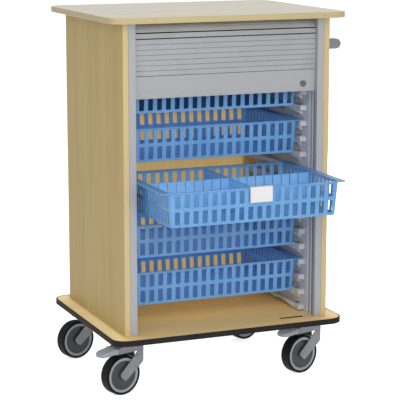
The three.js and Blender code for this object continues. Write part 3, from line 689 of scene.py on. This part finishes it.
def perforated_wall_tree():
    """A flat wall with rows of round-cornered slots, its face towards +Z and its top towards +Y."""
    tree, given = start_tree("perforated_wall", Int=("Columns", "Rows"), Float=(
        "Top Width", "Foot Width", "Height", "Thickness", "Slot Width", "Slot Height", "Slot Round",
        "Column Pitch", "Row Pitch", "First Row"))
    outline = add(tree, "GeometryNodeCurvePrimitiveQuadrilateral", {
        "Bottom Width": given["Foot Width"], "Top Width": given["Top Width"],
        "Height": given["Height"], "Offset": 0.0}, mode="TRAPEZOID")
    slot = add(tree, "GeometryNodeCurvePrimitiveQuadrilateral", {
        "Width": given["Slot Width"], "Height": given["Slot Height"]}, mode="RECTANGLE")
    eased = add(tree, "GeometryNodeFilletCurve", {
        "Curve": slot, "Count": SLOT_ROUND_STEPS, "Radius": given["Slot Round"]}, mode="POLY")
    spans = []
    for count, pitch in (("Columns", "Column Pitch"), ("Rows", "Row Pitch")):
        gaps = add(tree, "ShaderNodeMath", {0: given[count], 1: 1.0}, operation="SUBTRACT")
        spans.append(add(tree, "ShaderNodeMath", {0: gaps, 1: given[pitch]}, operation="MULTIPLY"))
    grid = add(tree, "GeometryNodeMeshGrid", {
        "Size X": spans[0], "Size Y": spans[1],
        "Vertices X": given["Columns"], "Vertices Y": given["Rows"]})
    half = add(tree, "ShaderNodeMath", {0: spans[1], 1: 0.5}, operation="MULTIPLY")
    lift = add(tree, "ShaderNodeMath", {0: given["First Row"], 1: half}, operation="SUBTRACT")
    upward = add(tree, "ShaderNodeCombineXYZ", {"Y": lift})
    raised = add(tree, "GeometryNodeTransform", {"Geometry": grid, "Translation": upward})
    slots = add(tree, "GeometryNodeInstanceOnPoints", {"Points": raised, "Instance": eased})
    curves = add(tree, "GeometryNodeRealizeInstances", {"Geometry": slots})
    drawing = add(tree, "GeometryNodeJoinGeometry", {"Geometry": [outline, curves]})
    sheet = add(tree, "GeometryNodeFillCurve", {"Curve": drawing}, mode="TRIANGLES")
    front = add(tree, "GeometryNodeExtrudeMesh", {
        "Mesh": sheet, "Offset Scale": given["Thickness"], "Individual": False})
    back = add(tree, "GeometryNodeFlipFaces", {"Mesh": sheet})
    both = add(tree, "GeometryNodeJoinGeometry", {"Geometry": [front, back]})
    closed = add(tree, "GeometryNodeMergeByDistance", {"Geometry": both, "Distance": JOIN_DISTANCE})
    return end_tree(tree, closed, given["Material"])


def along_path_tree():
    """A shape repeated along a path, turned about X to follow it."""
    tree, given = start_tree("along_path", Object=["Path"], Int=["Count"])
    path = add(tree, "GeometryNodeObjectInfo", {"Object": given["Path"]}, transform_space="ORIGINAL")
    points = add(tree, "GeometryNodeCurveToPoints", {
        "Curve": path.outputs["Geometry"], "Count": given["Count"]}, mode="COUNT")
    facing = add(tree, "FunctionNodeAlignRotationToVector", {
        "Vector": points.outputs["Tangent"]}, axis="Z", pivot_axis="X")
    copies = add(tree, "GeometryNodeInstanceOnPoints", {
        "Points": points, "Instance": given["Geometry"], "Rotation": facing})
    return end_tree(tree, copies, given["Material"])


def edge_strip_tree():
    """A strip with eased edges that runs round a board with rounded corners."""
    tree, given = start_tree("edge_strip", Float=(
        "Width", "Depth", "Corner", "Thickness", "Height", "Ease"))
    curves = []
    for width, height, corner, steps in (
            ("Width", "Depth", "Corner", BOARD_CORNER_STEPS), ("Thickness", "Height", "Ease", EASE_STEPS)):
        outline = add(tree, "GeometryNodeCurvePrimitiveQuadrilateral", {
            "Width": given[width], "Height": given[height]}, mode="RECTANGLE")
        curves.append(add(tree, "GeometryNodeFilletCurve", {
            "Curve": outline, "Count": steps, "Radius": given[corner]}, mode="POLY"))
    strip = add(tree, "GeometryNodeCurveToMesh", {
        "Curve": curves[0], "Profile Curve": curves[1], "Fill Caps": False})
    return end_tree(tree, strip, given["Material"])


perforated_wall = perforated_wall_tree()
along_path = along_path_tree()
edge_strip = edge_strip_tree()


def repeated(shape, points, count, material):
    """A shape repeated evenly from one end of a path to the other."""
    data = bpy.data.curves.new("path", "CURVE")
    data.dimensions = "3D"
    spline = data.splines.new("POLY")
    spline.points.add(len(points) - 1)
    for target, point in zip(spline.points, points):
        target.co = (*point, 1)
    path = shown("path", data)
    row = grown(along_path, {"Path": path, "Count": count, "Material": material},
                plain_mesh(shape, "one"))
    bpy.data.objects.remove(path)
    return row


# Boards: laminate faces with an eased edge band
def board(name, node, face_material, band_material, thin_axis):
    shape = block(*box_mm(node))
    painted(shape, 1, lambda face: abs(face.normal["XYZ".index(thin_axis)]) < 0.5)
    soften(shape, BOARD_EASE / 2)
    piece(name, shape, [face_material, band_material], "carcass", [node])


def rounded_board(low, high, corner):
    centre = (low + high) / 2
    outline = [(centre.x + x, centre.y + y) for x, y in
               rounded_rectangle(high.x - low.x, high.y - low.y, corner, BOARD_CORNER_STEPS)]
    return painted(prism(outline, low.z, high.z), 1, lambda face: abs(face.normal.z) < 0.5)


top_low, top_high = box_mm("top_board")
piece("worktop", soften(rounded_board(top_low, top_high, BOARD_CORNER), BOARD_EASE),
      [maple_flat_shaded, maple_edge], "carcass", ["top_board"])

for word in ("left", "right"):
    board(f"side_board_{word}", f"side_panel_{word}", maple_upright, maple_edge_upright, "X")
board("inner_back_board", "inner_back_panel", maple_inside_lit, maple_edge_upright, "Y")
board("outer_back_board", "outer_back_panel", maple_upright, maple_edge_upright, "Y")

base_low, base_high = box_mm("base_board")
floor_board = soften(rounded_board(base_low, base_high, BOARD_CORNER - BUMPER_THICKNESS), BOARD_EASE / 2)
keeper = Vector((*KEEPER_PLACE, base_high.z))
keeper_half = Vector(KEEPER_SLOT) / 2
keeper_hole = block(keeper - keeper_half - Vector((0, 0, keeper_half.z)), keeper + keeper_half)
floor_board = cut(floor_board, keeper_hole)
painted(floor_board, 3, lambda face: face.normal.z < -0.9)
# The keeper slot's faces are painted black as shade in the slot
painted(floor_board, 2, lambda face: (face.calc_center_median() - keeper).length < keeper_half.x + 1)
piece("floor_board", floor_board, [maple_base_lit, maple_edge, slot_shade_black, backing_sheet], "carcass",
      ["base_board"])

low, high = box_mm("base_bumper")
strip = grown(edge_strip, {
    "Width": high.x - low.x - BUMPER_THICKNESS, "Depth": high.y - low.y - BUMPER_THICKNESS,
    "Corner": BOARD_CORNER - BUMPER_THICKNESS / 2, "Thickness": BUMPER_THICKNESS,
    "Height": high.z - low.z, "Ease": BUMPER_EASE, "Material": edge_vinyl})
close_faces(strip)
piece("edge_bumper", moved(strip, shift((low + high) / 2)), [edge_vinyl], "carcass",
      ["base_bumper"])

# Front profiles and curved tracks: extrusions with a slight radius on every edge. A profile's inner side
# behind the slats' slot has painted light, a lighter aluminium, and the slot is lined with grey painted
# shade
slat_low, slat_high = box_mm("shutter_front_slats")
for word in ("left", "right"):
    node = f"front_profile_{word}"
    inner = min(abs(corner.x) for corner in box_mm(node))
    extrusion = soften(cad_copy(node), PROFILE_EASE)
    for face in extrusion.faces:
        centre = face.calc_center_median()
        inset = abs(centre.x) - inner
        in_slot = slat_low.y - SLOT_SHADE_ROOM < centre.y < slat_high.y + SLOT_SHADE_ROOM
        # Painted light on the inner side behind the slot, and painted shade inside the slot
        if inset < PROFILE_LIP and centre.y > slat_high.y:
            face.material_index = 1
        elif PROFILE_LIP < inset < PROFILE_SLOT and in_slot:
            face.material_index = 2
    piece(f"front_extrusion_{word}", extrusion, [anodised_aluminium, painted_lit_aluminium, slot_shade_grey],
          "carcass", [node])
    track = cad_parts[f"shutter_track_{word}"]
    track.data.materials.clear()
    track.data.materials.append(anodised_aluminium)


# Shutter: hooked slats that follow the line of their canvas
def slat_section(slim=0):
    """A slat across its length: a flat bar before the canvas, and a hook behind its top edge."""
    half = (SLAT_PITCH - SLAT_GAP) / 2
    front = slim / 2 - SLAT_THICKNESS
    back = -slim / 2
    hook = half + SLAT_GAP + HOOK_REACH
    third = SLAT_EASE / 3
    outline = [
        (back, SLAT_CHAMFER - half), (back - SLAT_CHAMFER, -half), (front + SLAT_EASE, -half),
        (front + third, third - half), (front, SLAT_EASE - half), (front, half - SLAT_EASE),
        (front + third, half - third), (front + SLAT_EASE, half), (front + HOOK_PLACE, half),
        (front + HOOK_PLACE, hook), (back - SLAT_CHAMFER, hook), (back, half)]
    end = SLAT_LENGTH / 2 - SLAT_INSET - slim
    return prism(outline, -end, end, "X")


def canvas_point(length):
    """A point on the line of the slats' canvas, by length from the start of the front bend."""
    quarter = BEND_RADIUS * pi / 2
    past_front = length - quarter
    past_top = past_front - (rear_bend_y - front_bend_y)
    if past_top >= quarter:
        return (0, rear_bend_y + BEND_RADIUS, bend_z + quarter - past_top)
    if past_front >= 0 > past_top:
        return (0, front_bend_y + past_front, bend_z + BEND_RADIUS)
    bend_y, bent = (front_bend_y, past_front) if past_front < 0 else (rear_bend_y, past_top)
    angle = pi / 2 - bent / BEND_RADIUS
    return (0, bend_y + BEND_RADIUS * cos(angle), bend_z + BEND_RADIUS * sin(angle))


canvas_y = slat_high.y
lowest_slat = slat_low.z + SLAT_PITCH / 2
highest_slat = lowest_slat + SLAT_PITCH * (FRONT_SLATS - 1)
front_slats = repeated(slat_section(), [(0, canvas_y, lowest_slat), (0, canvas_y, highest_slat)],
                       FRONT_SLATS, slat_plastic)
piece("shutter_slats_front", front_slats, [slat_plastic], "shutter",
      ["shutter_front_slats"])

stored_high = box_mm("shutter_stored_slats")[1]
bend_z = stored_high.z - BEND_RADIUS - SLAT_THICKNESS
front_bend_y = canvas_y + BEND_RADIUS
rear_bend_y = stored_high.y - BEND_RADIUS - SLAT_THICKNESS
wound_path = [canvas_point(SLAT_PITCH * (0.5 + (STORED_SLATS - 1) * step / PATH_STEPS))
              for step in range(PATH_STEPS + 1)]
wound_slats = repeated(slat_section(), wound_path, STORED_SLATS, slat_plastic)

# Joints open on the bend; black strips behind the first of them are painted shade in the open gaps
joint_shade_strips = []
for joint in range(SHADED_JOINTS):
    length = SLAT_PITCH * joint
    foot = -JOINT_SHADE_HALF if joint else -JOINT_SHADE_FIRST
    strip = block((JOINT_SHADE_INSET - SLAT_LENGTH / 2, JOINT_SHADE_SETBACK - SLAT_THICKNESS, foot),
                  (SLAT_LENGTH / 2 - JOINT_SHADE_INSET, -JOINT_SHADE_INSET, JOINT_SHADE_HALF))
    moved(soften(strip, JOINT_SHADE_EASE), shift(canvas_point(length)) @ turn(-length / BEND_RADIUS, "X"))
    joint_shade_strips.append(painted(strip, 1))
piece("shutter_slats_wound", merge(wound_slats, *joint_shade_strips), [slat_plastic, joint_shade_black], "carcass",
      ["shutter_stored_slats"])


# Slats that come out of the track as the shutter is pulled down: at rest they lie folded inside the
# highest slat of the front, and they spread evenly between it and the track
def folded(height):
    """Where a point of the lowered shutter lies while the shutter is up."""
    low_share, high_share = 0.0, 1.0
    for _ in range(FOLD_TRIES):
        share = (low_share + high_share) / 2
        follow = share * share * (3 - 2 * share)
        if spare_top - SPARE_FOLD * share - SHUTTER_TRAVEL * follow > height:
            low_share = share
        else:
            high_share = share
    return spare_top - SPARE_FOLD * share


spare_top = slat_high.z - SPARE_DROP
spare_first = highest_slat + SLAT_PITCH - SHUTTER_TRAVEL
spare_last = spare_first + SLAT_PITCH * (SPARE_SLATS - 1)
spare = repeated(slat_section(SPARE_SLIM), [(0, canvas_y, spare_first), (0, canvas_y, spare_last)],
                 SPARE_SLATS, slat_plastic)
for vertex in spare.verts:
    vertex.co.z = folded(vertex.co.z)
spare_slats = piece("shutter_slats_spare", spare, [slat_plastic], None)
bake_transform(spare_slats)

# Bottom rail: an extrusion with a raised lower lip, bored for the lock
rail_low, rail_high = box_mm("shutter_bottom_rail")
lock_low, lock_high = box_mm("lock_cylinder")
lock_middle = (lock_low + lock_high) / 2
rail_outline = [
    (rail_high.y, rail_low.z), *((rail_low.y + y, rail_low.z + z) for y, z in RAIL_FOOT),
    *((rail_low.y + y, rail_high.z - z) for y, z in RAIL_HEAD), (rail_high.y, rail_high.z)]
rail = prism(rail_outline, -RAIL_HALF, RAIL_HALF, "X")
tongue = moved(slat_section(), shift((0, canvas_y, (rail_low.z + rail_high.z) / 2)))
bore = LOCK_RADIUS + BORE_GAP
lock_bore = turned([(0, -BORE_HALF), (bore, -BORE_HALF), (bore, BORE_HALF), (0, BORE_HALF)], BORE_SIDES)
moved(lock_bore, shift(lock_middle) @ turn(pi / 2, "X"))
bolt_low, bolt_high = box_mm("lock_bolt")
room = Vector((BOLT_GAP, BOLT_GAP, BOLT_GAP))
bolt_room = block(bolt_low - room - Vector((0, 0, BOLT_PAST)), bolt_high + room)
piece("shutter_rail", merge(cut(cut(rail, lock_bore), bolt_room), tongue), [anodised_rail], "shutter",
      ["shutter_bottom_rail"])

# Lock: a nickel-plated barrel with a turned rim, and a key slit painted black as shade in the keyway
lock_depth = lock_high.y - lock_low.y
barrel = turned([(0, 0), *((LOCK_RADIUS - inset, depth) for inset, depth in LOCK_FACE),
                 (LOCK_RADIUS, lock_depth), (0, lock_depth)], LOCK_SIDES)
slit = painted(soften(block(*KEY_SLIT), KEY_SLIT_EASE), 1)
lock = moved(merge(barrel, slit), shift((lock_middle.x, lock_low.y, lock_middle.z)) @ turn(-pi / 2, "X"))
piece("lock_barrel", lock, [nickel_plate, slot_shade_black], "lock_cylinder", ["lock_cylinder"])
eased_copy("lock_latch", "lock_bolt", LATCH_EASE, keeper_steel, "lock_bolt")


# Liners: a wall with ledges that hold the baskets' side rims
def runner_shape(y_front, y_back, height):
    """A ledge with a rounded, waved foot and a square nose before it, both level at zero."""
    nose_y = y_front + NOSE_SETBACK
    ledge_y = nose_y + NOSE_LENGTH
    rings = []
    for distance, rise in (*LEDGE_WAVE, (y_back - ledge_y, LEDGE_WAVE[-1][1])):
        reach = (RUNNER_ROOT - RUNNER_INNER) * (1 if distance else LEDGE_START)
        foot = height - rise
        lip = min(RUNNER_LIP, foot / 2)
        section = [(OVERLAP, 0), *((x - reach, -z) for x, z in RUNNER_EDGE)]
        for step in range(RUNNER_STEPS + 1):
            angle = step / RUNNER_STEPS * pi / 2
            section.append((-reach * cos(angle), -lip - (foot - lip) * sin(angle)))
        section.append((OVERLAP, -foot))
        rings.append([(RUNNER_ROOT + x, ledge_y + distance, z) for x, z in section])
    nose = block((RUNNER_ROOT - NOSE_DEPTH, nose_y, -NOSE_HEIGHT),
                 (RUNNER_ROOT + OVERLAP, ledge_y + LEDGE_WAVE[1][0], 0))
    return merge(loft(rings), soften(nose, NOSE_EASE))


for word in ("left", "right"):
    low, high = box_mm(f"liner_{word}")
    outer = max(abs(low.x), abs(high.x))
    back = high.y - LINER_SETBACK
    wall = soften(block((RUNNER_ROOT, low.y, low.z), (outer, back, high.z)), LINER_EASE)
    foot_level = LOWEST_RUNNER - RUNNER_PITCH
    foot = moved(runner_shape(low.y, back, foot_level - low.z), shift((0, 0, foot_level)))
    highest_runner = LOWEST_RUNNER + RUNNER_PITCH * (RUNNER_COUNT - 1)
    runners = repeated(runner_shape(low.y, back, RUNNER_HEIGHT),
                       [(0, 0, LOWEST_RUNNER), (0, 0, highest_runner)], RUNNER_COUNT, liner_plastic)
    whole = merge(wall, foot, runners)
    if word == "left":
        moved(whole, Matrix.Scale(-1, 4, (1, 0, 0)))
    piece(f"moulded_liner_{word}", whole, [liner_plastic], "carcass", [f"liner_{word}"])


# Baskets: their own zero is at the middle of the rim's top
def basket_wall(widths, depths, slots, heading):
    """One leaning perforated wall from the rim to the floor, turned about the basket's middle."""
    count, pitch, width = slots
    lean = (depths[0] - depths[1]) / 2 / TRAY_HEIGHT
    tilt = atan(lean)
    fall = TRAY_HEIGHT - FLANGE_THICKNESS + OVERLAP
    drop = TRAY_HEIGHT - fall / 2
    shape = grown(perforated_wall, {
        "Top Width": widths[0] - 2 * BODY_CORNER, "Foot Width": widths[1] - 2 * BODY_CORNER,
        "Height": fall / cos(tilt), "Thickness": TRAY_WALL, "Slot Width": width,
        "Slot Height": SLOT_HEIGHT, "Slot Round": SLOT_ROUND, "Columns": count, "Rows": SLOT_ROWS,
        "Column Pitch": pitch, "Row Pitch": SLOT_ROW_PITCH,
        "First Row": drop - SLOT_TOP - SLOT_HEIGHT / 2, "Material": basket_plastic})
    upright = turn(pi / 2 + tilt, "X")
    middle = Vector((0, lean * drop - depths[0] / 2, -drop)) - upright @ Vector((0, 0, TRAY_WALL))
    return moved(shape, turn(heading, "Z") @ shift(middle) @ upright)


def corner_posts():
    """The rounded corners that join the walls."""
    posts = []
    outward = range(BODY_CORNER_STEPS + 1)
    for right, back in CORNERS:
        rings = []
        for (width, depth), z in ((BODY_TOP, OVERLAP - FLANGE_THICKNESS), (BODY_FLOOR, -TRAY_HEIGHT)):
            ring = []
            for radius, steps in ((BODY_CORNER, outward), (BODY_CORNER - TRAY_WALL, reversed(outward))):
                for step in steps:
                    angle = step / BODY_CORNER_STEPS * pi / 2
                    ring.append((right * (width / 2 - BODY_CORNER + radius * cos(angle)),
                                 back * (depth / 2 - BODY_CORNER + radius * sin(angle)), z))
            rings.append(ring)
        posts.append(loft(rings))
    return merge(*posts)


def basket_shape():
    widths, depths = zip(BODY_TOP, BODY_FLOOR)
    walls = [basket_wall(widths, depths, FRONT_SLOTS, heading) for heading in (0, pi)]
    walls += [basket_wall(depths, widths, SIDE_SLOTS, heading) for heading in (pi / 2, -pi / 2)]
    floor = prism(rounded_rectangle(*BODY_FLOOR, BODY_CORNER), -TRAY_HEIGHT, TRAY_WALL - TRAY_HEIGHT)
    outer = rounded_rectangle(TRAY_WIDTH, TRAY_DEPTH, FLANGE_CORNER)
    inner = rounded_rectangle(BODY_TOP[0] - 2 * TRAY_WALL, BODY_TOP[1] - 2 * TRAY_WALL,
                              BODY_CORNER - TRAY_WALL)
    rings = [[(x, y, z) for x, y in outline] for outline, z in (
        (outer, -FLANGE_THICKNESS), (outer, 0), (inner, 0), (inner, -FLANGE_THICKNESS),
        (outer, -FLANGE_THICKNESS))]
    rim = soften(loft(rings, ends=False), FLANGE_EASE)
    return merge(*walls, corner_posts(), floor, rim)


basket_mesh = plain_mesh(basket_shape(), "basket")
for number in BASKET_GLOWS:
    node = f"basket_{number}"
    low, high = box_mm(node)
    place = shift(((low.x + high.x) / 2, low.y + TRAY_DEPTH / 2, high.z))
    piece("perforated_" + node, moved(from_mesh(basket_mesh), place), [basket_plastic], node,
          [node])

for node in ("divider_long", "divider_cross"):
    eased_copy(node + "_plate", node, DIVIDER_EASE, divider_plastic_lit, "basket_3", 2)
eased_copy("label_frame", "label_holder", HOLDER_EASE, label_plastic, "basket_3", 2)
eased_copy("label_blank", "label_card", CARD_EASE, label_paper, "basket_3", 2)

# Push handle
for word in ("front", "rear"):
    eased_copy(f"handle_end_{word}", f"push_handle_bracket_{word}", HANDLE_END_EASE, handle_plastic,
               "carcass")
eased_copy("handle_bar", "push_handle_bar", HANDLE_BAR_EASE, handle_plastic, "carcass")


# Castors
def mirrored(profile):
    """A half outline of [radius, height] points with its copy below."""
    return profile + [(r, -h) for r, h in reversed(profile)]


def wheel_shape():
    ring, disc = (turned(mirrored(profile), WHEEL_SIDES) for profile in (RING_PROFILE, DISC_PROFILE))
    return merge(ring, painted(disc, 1))


def fork_shape(braked):
    """A fork under a hood, whose end is hollowed round the pedal's knuckle where there is a pedal."""
    if braked:
        reach = KNUCKLE_RADIUS + KNUCKLE_GAP
        widest = acos((KNUCKLE[0] - CROWN_END) / reach)
        end = [(CROWN_END, CROWN_FOOT, 0)]
        for step in range(HOLLOW_STEPS + 1):
            angle = widest * (2 * step / HOLLOW_STEPS - 1)
            end.append((KNUCKLE[0] - reach * cos(angle), KNUCKLE[1] + reach * sin(angle), 0))
        end += [(CROWN_END, CROWN_END_TOP, 0), (CROWN_SLOPE_START, CROWN_TOP, CROWN_SLOPE_CORNER)]
    else:
        end = [(PLAIN_CROWN_END, z, PLAIN_CROWN_CORNER) for z in (CROWN_FOOT, PLAIN_CROWN_TOP)]
    hood = filleted([(CROWN_BACK, CROWN_FOOT, 0), *end, (CROWN_BACK, CROWN_TOP, CROWN_BACK_CORNER)])
    leg = filleted(LEG_OUTLINE)
    legs = [soften(prism(leg, near, far, "Y"), FORK_EASE) for near, far in
            ((LEG_INNER, LEG_OUTER - LEG_STEP), (LEG_STEP - LEG_OUTER, -LEG_INNER))]
    crown = soften(prism(hood, -LEG_OUTER, LEG_OUTER, "Y"), FORK_EASE, above=CROWN_SHARP)
    return merge(*legs, crown, turned(SWIVEL_PROFILE, SWIVEL_SIDES))


def shoe_and_shade_shape():
    """A dark brake shoe that hangs under the crown, curved to the tyre, also painting shade between the
    legs.
    """
    outline = [(end, CROWN_FOOT + OVERLAP) for end in reversed(SHOE_ENDS)]
    reach = WHEEL_RADIUS + SHOE_GAP
    first, last = (acos((end - CASTOR_TRAIL) / reach) for end in SHOE_ENDS)
    for step in range(SHOE_STEPS + 1):
        angle = first + (last - first) * step / SHOE_STEPS
        outline.append((CASTOR_TRAIL + reach * cos(angle), WHEEL_RADIUS + reach * sin(angle)))
    half = LEG_INNER - SHOE_EASE
    return soften(prism(outline, -half, half, "Y"), SHOE_EASE)


def axle_shape():
    half = LEG_OUTER + AXLE_GAP
    return turned(mirrored([(r, -half - past) for r, past in AXLE_HEAD]), AXLE_SIDES)


def pedal_shape():
    """A knuckle across the crown and a broad tongue that falls to a round tip."""
    rings = []
    half_width = PEDAL_WIDTH / 2
    for step in range(PEDAL_STEPS + 1):
        share = 1 - (1 - step / PEDAL_STEPS) ** 2
        along = PEDAL_LENGTH * share
        past = max(0, along - PEDAL_LENGTH + half_width) / half_width * PEDAL_END
        half = half_width * sqrt(1 - past * past)
        thick = KNUCKLE_RADIUS + (PEDAL_TIP / 2 - KNUCKLE_RADIUS) * share
        thick *= 1 - PEDAL_THINNING * past ** 6
        easing = min(half, thick)
        ring = []
        for side in range(PEDAL_STEPS):
            angle = 2 * pi * (side + 0.5) / PEDAL_STEPS
            across, up = cos(angle), sin(angle)
            y = copysign(half - easing + easing * abs(across) ** PEDAL_SQUARENESS, across)
            z = copysign(thick * abs(up) ** PEDAL_SQUARENESS, up)
            ring.append((KNUCKLE[0] + along, y, KNUCKLE[1] - PEDAL_DROP * share + z))
        rings.append(ring)
    knuckle = turned(filleted([
        (0, -half_width, 0), (KNUCKLE_RADIUS, -half_width, KNUCKLE_CORNER),
        (KNUCKLE_RADIUS, half_width, KNUCKLE_CORNER), (0, half_width, 0)]), KNUCKLE_SIDES)
    moved(knuckle, shift((KNUCKLE[0], 0, KNUCKLE[1])) @ turn(-pi / 2, "X"))
    return merge(loft(rings), knuckle)


def plate_shape():
    """A pressed top plate with four hexagon bolt heads."""
    outline = rounded_rectangle(*PLATE, PLATE_CORNER, PLATE_CORNER_STEPS)
    plate = soften(prism(outline, PLATE_FOOT, PLATE_TOP), PLATE_EASE)
    bolts = []
    for x in (-BOLT_PLACE[0], BOLT_PLACE[0]):
        for y in (-BOLT_PLACE[1], BOLT_PLACE[1]):
            bolt = merge(turned(BOLT_HEAD, BOLT_HEAD_SIDES), turned(BOLT_WASHER, BOLT_WASHER_SIDES))
            bolts.append(moved(bolt, shift((x, y, PLATE_FOOT))))
    return merge(plate, *bolts)


for front in ("front", "rear"):
    braked = front == "front"
    for word in ("left", "right"):
        name = f"castor_{front}_{word}"
        low, high = box_mm(name + "_plate")
        under = shift(((low.x + high.x) / 2, (low.y + high.y) / 2, 0))
        stand = under @ turn(radians(CASTOR_TURN), "Z")
        across = stand @ shift((CASTOR_TRAIL, 0, WHEEL_RADIUS)) @ turn(-pi / 2, "X")
        tyre = turned(mirrored(TYRE_PROFILE), TYRE_SIDES)
        wheel = name + "_wheel"
        piece(name + "_top_plate", moved(plate_shape(), under), [castor_zinc], "carcass",
              [name + "_plate"])
        piece(name + "_yoke", moved(fork_shape(braked), stand), [castor_zinc], name,
              [name + "_fork"])
        piece(name + "_bolt", moved(axle_shape(), across), [castor_zinc], name,
              [name + "_axle"])
        piece(name + "_tread", moved(tyre, across), [tyre_rubber], wheel, [name + "_tyre"])
        piece(name + "_rim_and_disc", moved(wheel_shape(), across), [ring_plastic, disc_plastic], wheel,
              [wheel])
        if braked:
            # The brake shoe's black is partly painted shade, where the legs' inner faces lie in shade
            piece(name + "_brake_shoe", moved(shoe_and_shade_shape(), stand), [tyre_rubber], name)
            piece(name + "_brake", moved(pedal_shape(), stand), [pedal_plastic], name + "_pedal",
                  [name + "_pedal"])


# Studio: a white floor that keeps a soft shadow, a white surround, and lamps behind the camera, above, low
# before the base, to the left and behind. Thin lamps lift what the photograph shows lighter: the back, the
# base board and its outer strips, the slats under the top, and the baskets, where the light is as blue as
# what comes through their walls
def seen_by(tree, *rays):
    """Whether a place is seen by the camera, straight or by way of these rays."""
    path = add(tree, "ShaderNodeLightPath")
    seen = path.outputs["Is Camera Ray"]
    for ray in rays:
        seen = add(tree, "ShaderNodeMath", {0: seen, 1: path.outputs[ray]}, operation="MAXIMUM")
    return seen


def studio_floor():
    made, tree = start_nodes(bpy.data.materials.new("white_studio_floor"))
    seen = seen_by(tree, "Is Glossy Ray")
    lift = add(tree, "ShaderNodeMath", {0: seen, 1: FLOOR_GLOW}, operation="MULTIPLY")
    paper = add(tree, "ShaderNodeBsdfDiffuse", {"Color": linear(FLOOR_COLOUR)})
    glow = add(tree, "ShaderNodeEmission", {"Color": linear(WHITE), "Strength": lift})
    both = add(tree, "ShaderNodeAddShader", {0: paper, 1: glow})
    add(tree, "ShaderNodeOutputMaterial", {"Surface": both})
    mesh = bpy.data.meshes.new("studio_floor")
    corners = [(-x * FLOOR_HALF, -y * FLOOR_HALF, 0) for x, y in CORNERS]
    mesh.from_pydata(corners, [], [(0, 1, 2, 3)])
    mesh.materials.append(made)
    shown("studio_floor", mesh)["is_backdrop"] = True


def studio_surround():
    scene.world, tree = start_nodes(bpy.data.worlds.new("studio"))
    seen = seen_by(tree, "Is Glossy Ray", "Is Transmission Ray")
    fill = add(tree, "ShaderNodeBackground", {"Color": linear(FILL_COLOUR), "Strength": FILL_LIGHT})
    white = add(tree, "ShaderNodeBackground", {"Color": linear(WHITE), "Strength": 1.0})
    mixed = add(tree, "ShaderNodeMixShader", {0: seen, 1: fill, 2: white})
    add(tree, "ShaderNodeOutputWorld", {"Surface": mixed})


def soft_lamp(name, place, aim, size, power, colour=WHITE):
    lamp = bpy.data.lights.new(name, "AREA")
    lamp.shape = "RECTANGLE"
    lamp.size, lamp.size_y = size
    lamp.energy = power
    lamp.color = linear(colour)[:3]
    made = shown(name, lamp)
    made.location = place
    made.rotation_euler = (Vector(aim) - Vector(place)).to_track_quat("-Z", "Y").to_euler()
    made.visible_camera = False
    made.visible_glossy = False
    made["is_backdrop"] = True


def thin_lamp(name, x, y, z, aim, glow):
    """A thin lamp close to what it lights, as bright all over as a share of white."""
    share, colour = glow
    low, high = (Vector(corner) for corner in zip(x, y, z))
    size = [extent * MM for extent in high - low if extent > 0]
    middle = TO_ROW @ ((low + high) / 2)
    soft_lamp(name, middle, middle + Vector(aim), size, share * pi * size[0] * size[1], colour)


studio_floor()
studio_surround()
camera_place = TO_ROW @ Vector(CAMERA_PLACE)
soft_lamp("front_lamp", camera_place * FRONT_DISTANCE, *FRONT_LAMP)
for lamp in LAMPS:
    soft_lamp(*lamp)

lamp_y = [box_mm("inner_back_panel")[0].y - BACK_LAMP_GAP] * 2
thin_lamp("back_lamp", BACK_LAMP_X, lamp_y, BACK_LAMP_Z, BACKWARD, BACK_GLOW)
low, high = box_mm("basket_5")
lamp_y = (low.y + BASE_LAMP_ENDS[0], high.y - BASE_LAMP_ENDS[1])
thin_lamp("base_lamp", BASE_LAMP_X, lamp_y, [low.z - BASE_LAMP_DROP] * 2, DOWNWARD, BASE_GLOW)
for number, glow in BASKET_GLOWS.items():
    low, high = box_mm(f"basket_{number}")
    lamp_y = (low.y + BASKET_LAMP_ENDS, high.y - BASKET_LAMP_ENDS)
    lamp_z = [high.z - BASKET_LAMP_DROP] * 2
    thin_lamp(f"basket_lamp_{number}", BASKET_LAMP_X, lamp_y, lamp_z, DOWNWARD, glow)
lamp_x = (slat_low.x + SHUTTER_LAMP_ENDS, slat_high.x - SHUTTER_LAMP_ENDS)
lamp_z = [top_low.z - drop for drop in SHUTTER_LAMP_DROPS]
thin_lamp("shutter_lamp", lamp_x, [slat_low.y - SHUTTER_LAMP_GAP] * 2, lamp_z, BACKWARD, SHUTTER_GLOW)
edge_gap, panel_gap = STRIP_LAMP_SIDES
lamp_y = (base_low.y + STRIP_LAMP_ENDS, base_high.y - STRIP_LAMP_ENDS)
lamp_z = [base_high.z + STRIP_LAMP_LIFT] * 2
for word, lamp_x in (
        ("left", (base_low.x + edge_gap, box_mm("side_panel_left")[0].x - panel_gap)),
        ("right", (box_mm("side_panel_right")[1].x + panel_gap, base_high.x - edge_gap))):
    thin_lamp(f"strip_lamp_{word}", lamp_x, lamp_y, lamp_z, DOWNWARD, STRIP_GLOW)

camera_data = bpy.data.cameras.new("photo_camera")
camera_data.sensor_width = CAMERA_SENSOR
camera_data.lens = CAMERA_LENS
camera = shown("photo_camera", camera_data)
camera.location = camera_place
camera.rotation_euler = (radians(90 - CAMERA_DIP), 0, -radians(CAMERA_TURN))
scene.camera = camera
scene.view_settings.view_transform = "Standard"

low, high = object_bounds()
{"cad": [list(cad_low), list(cad_high)], "visual": [list(low), list(high)]}
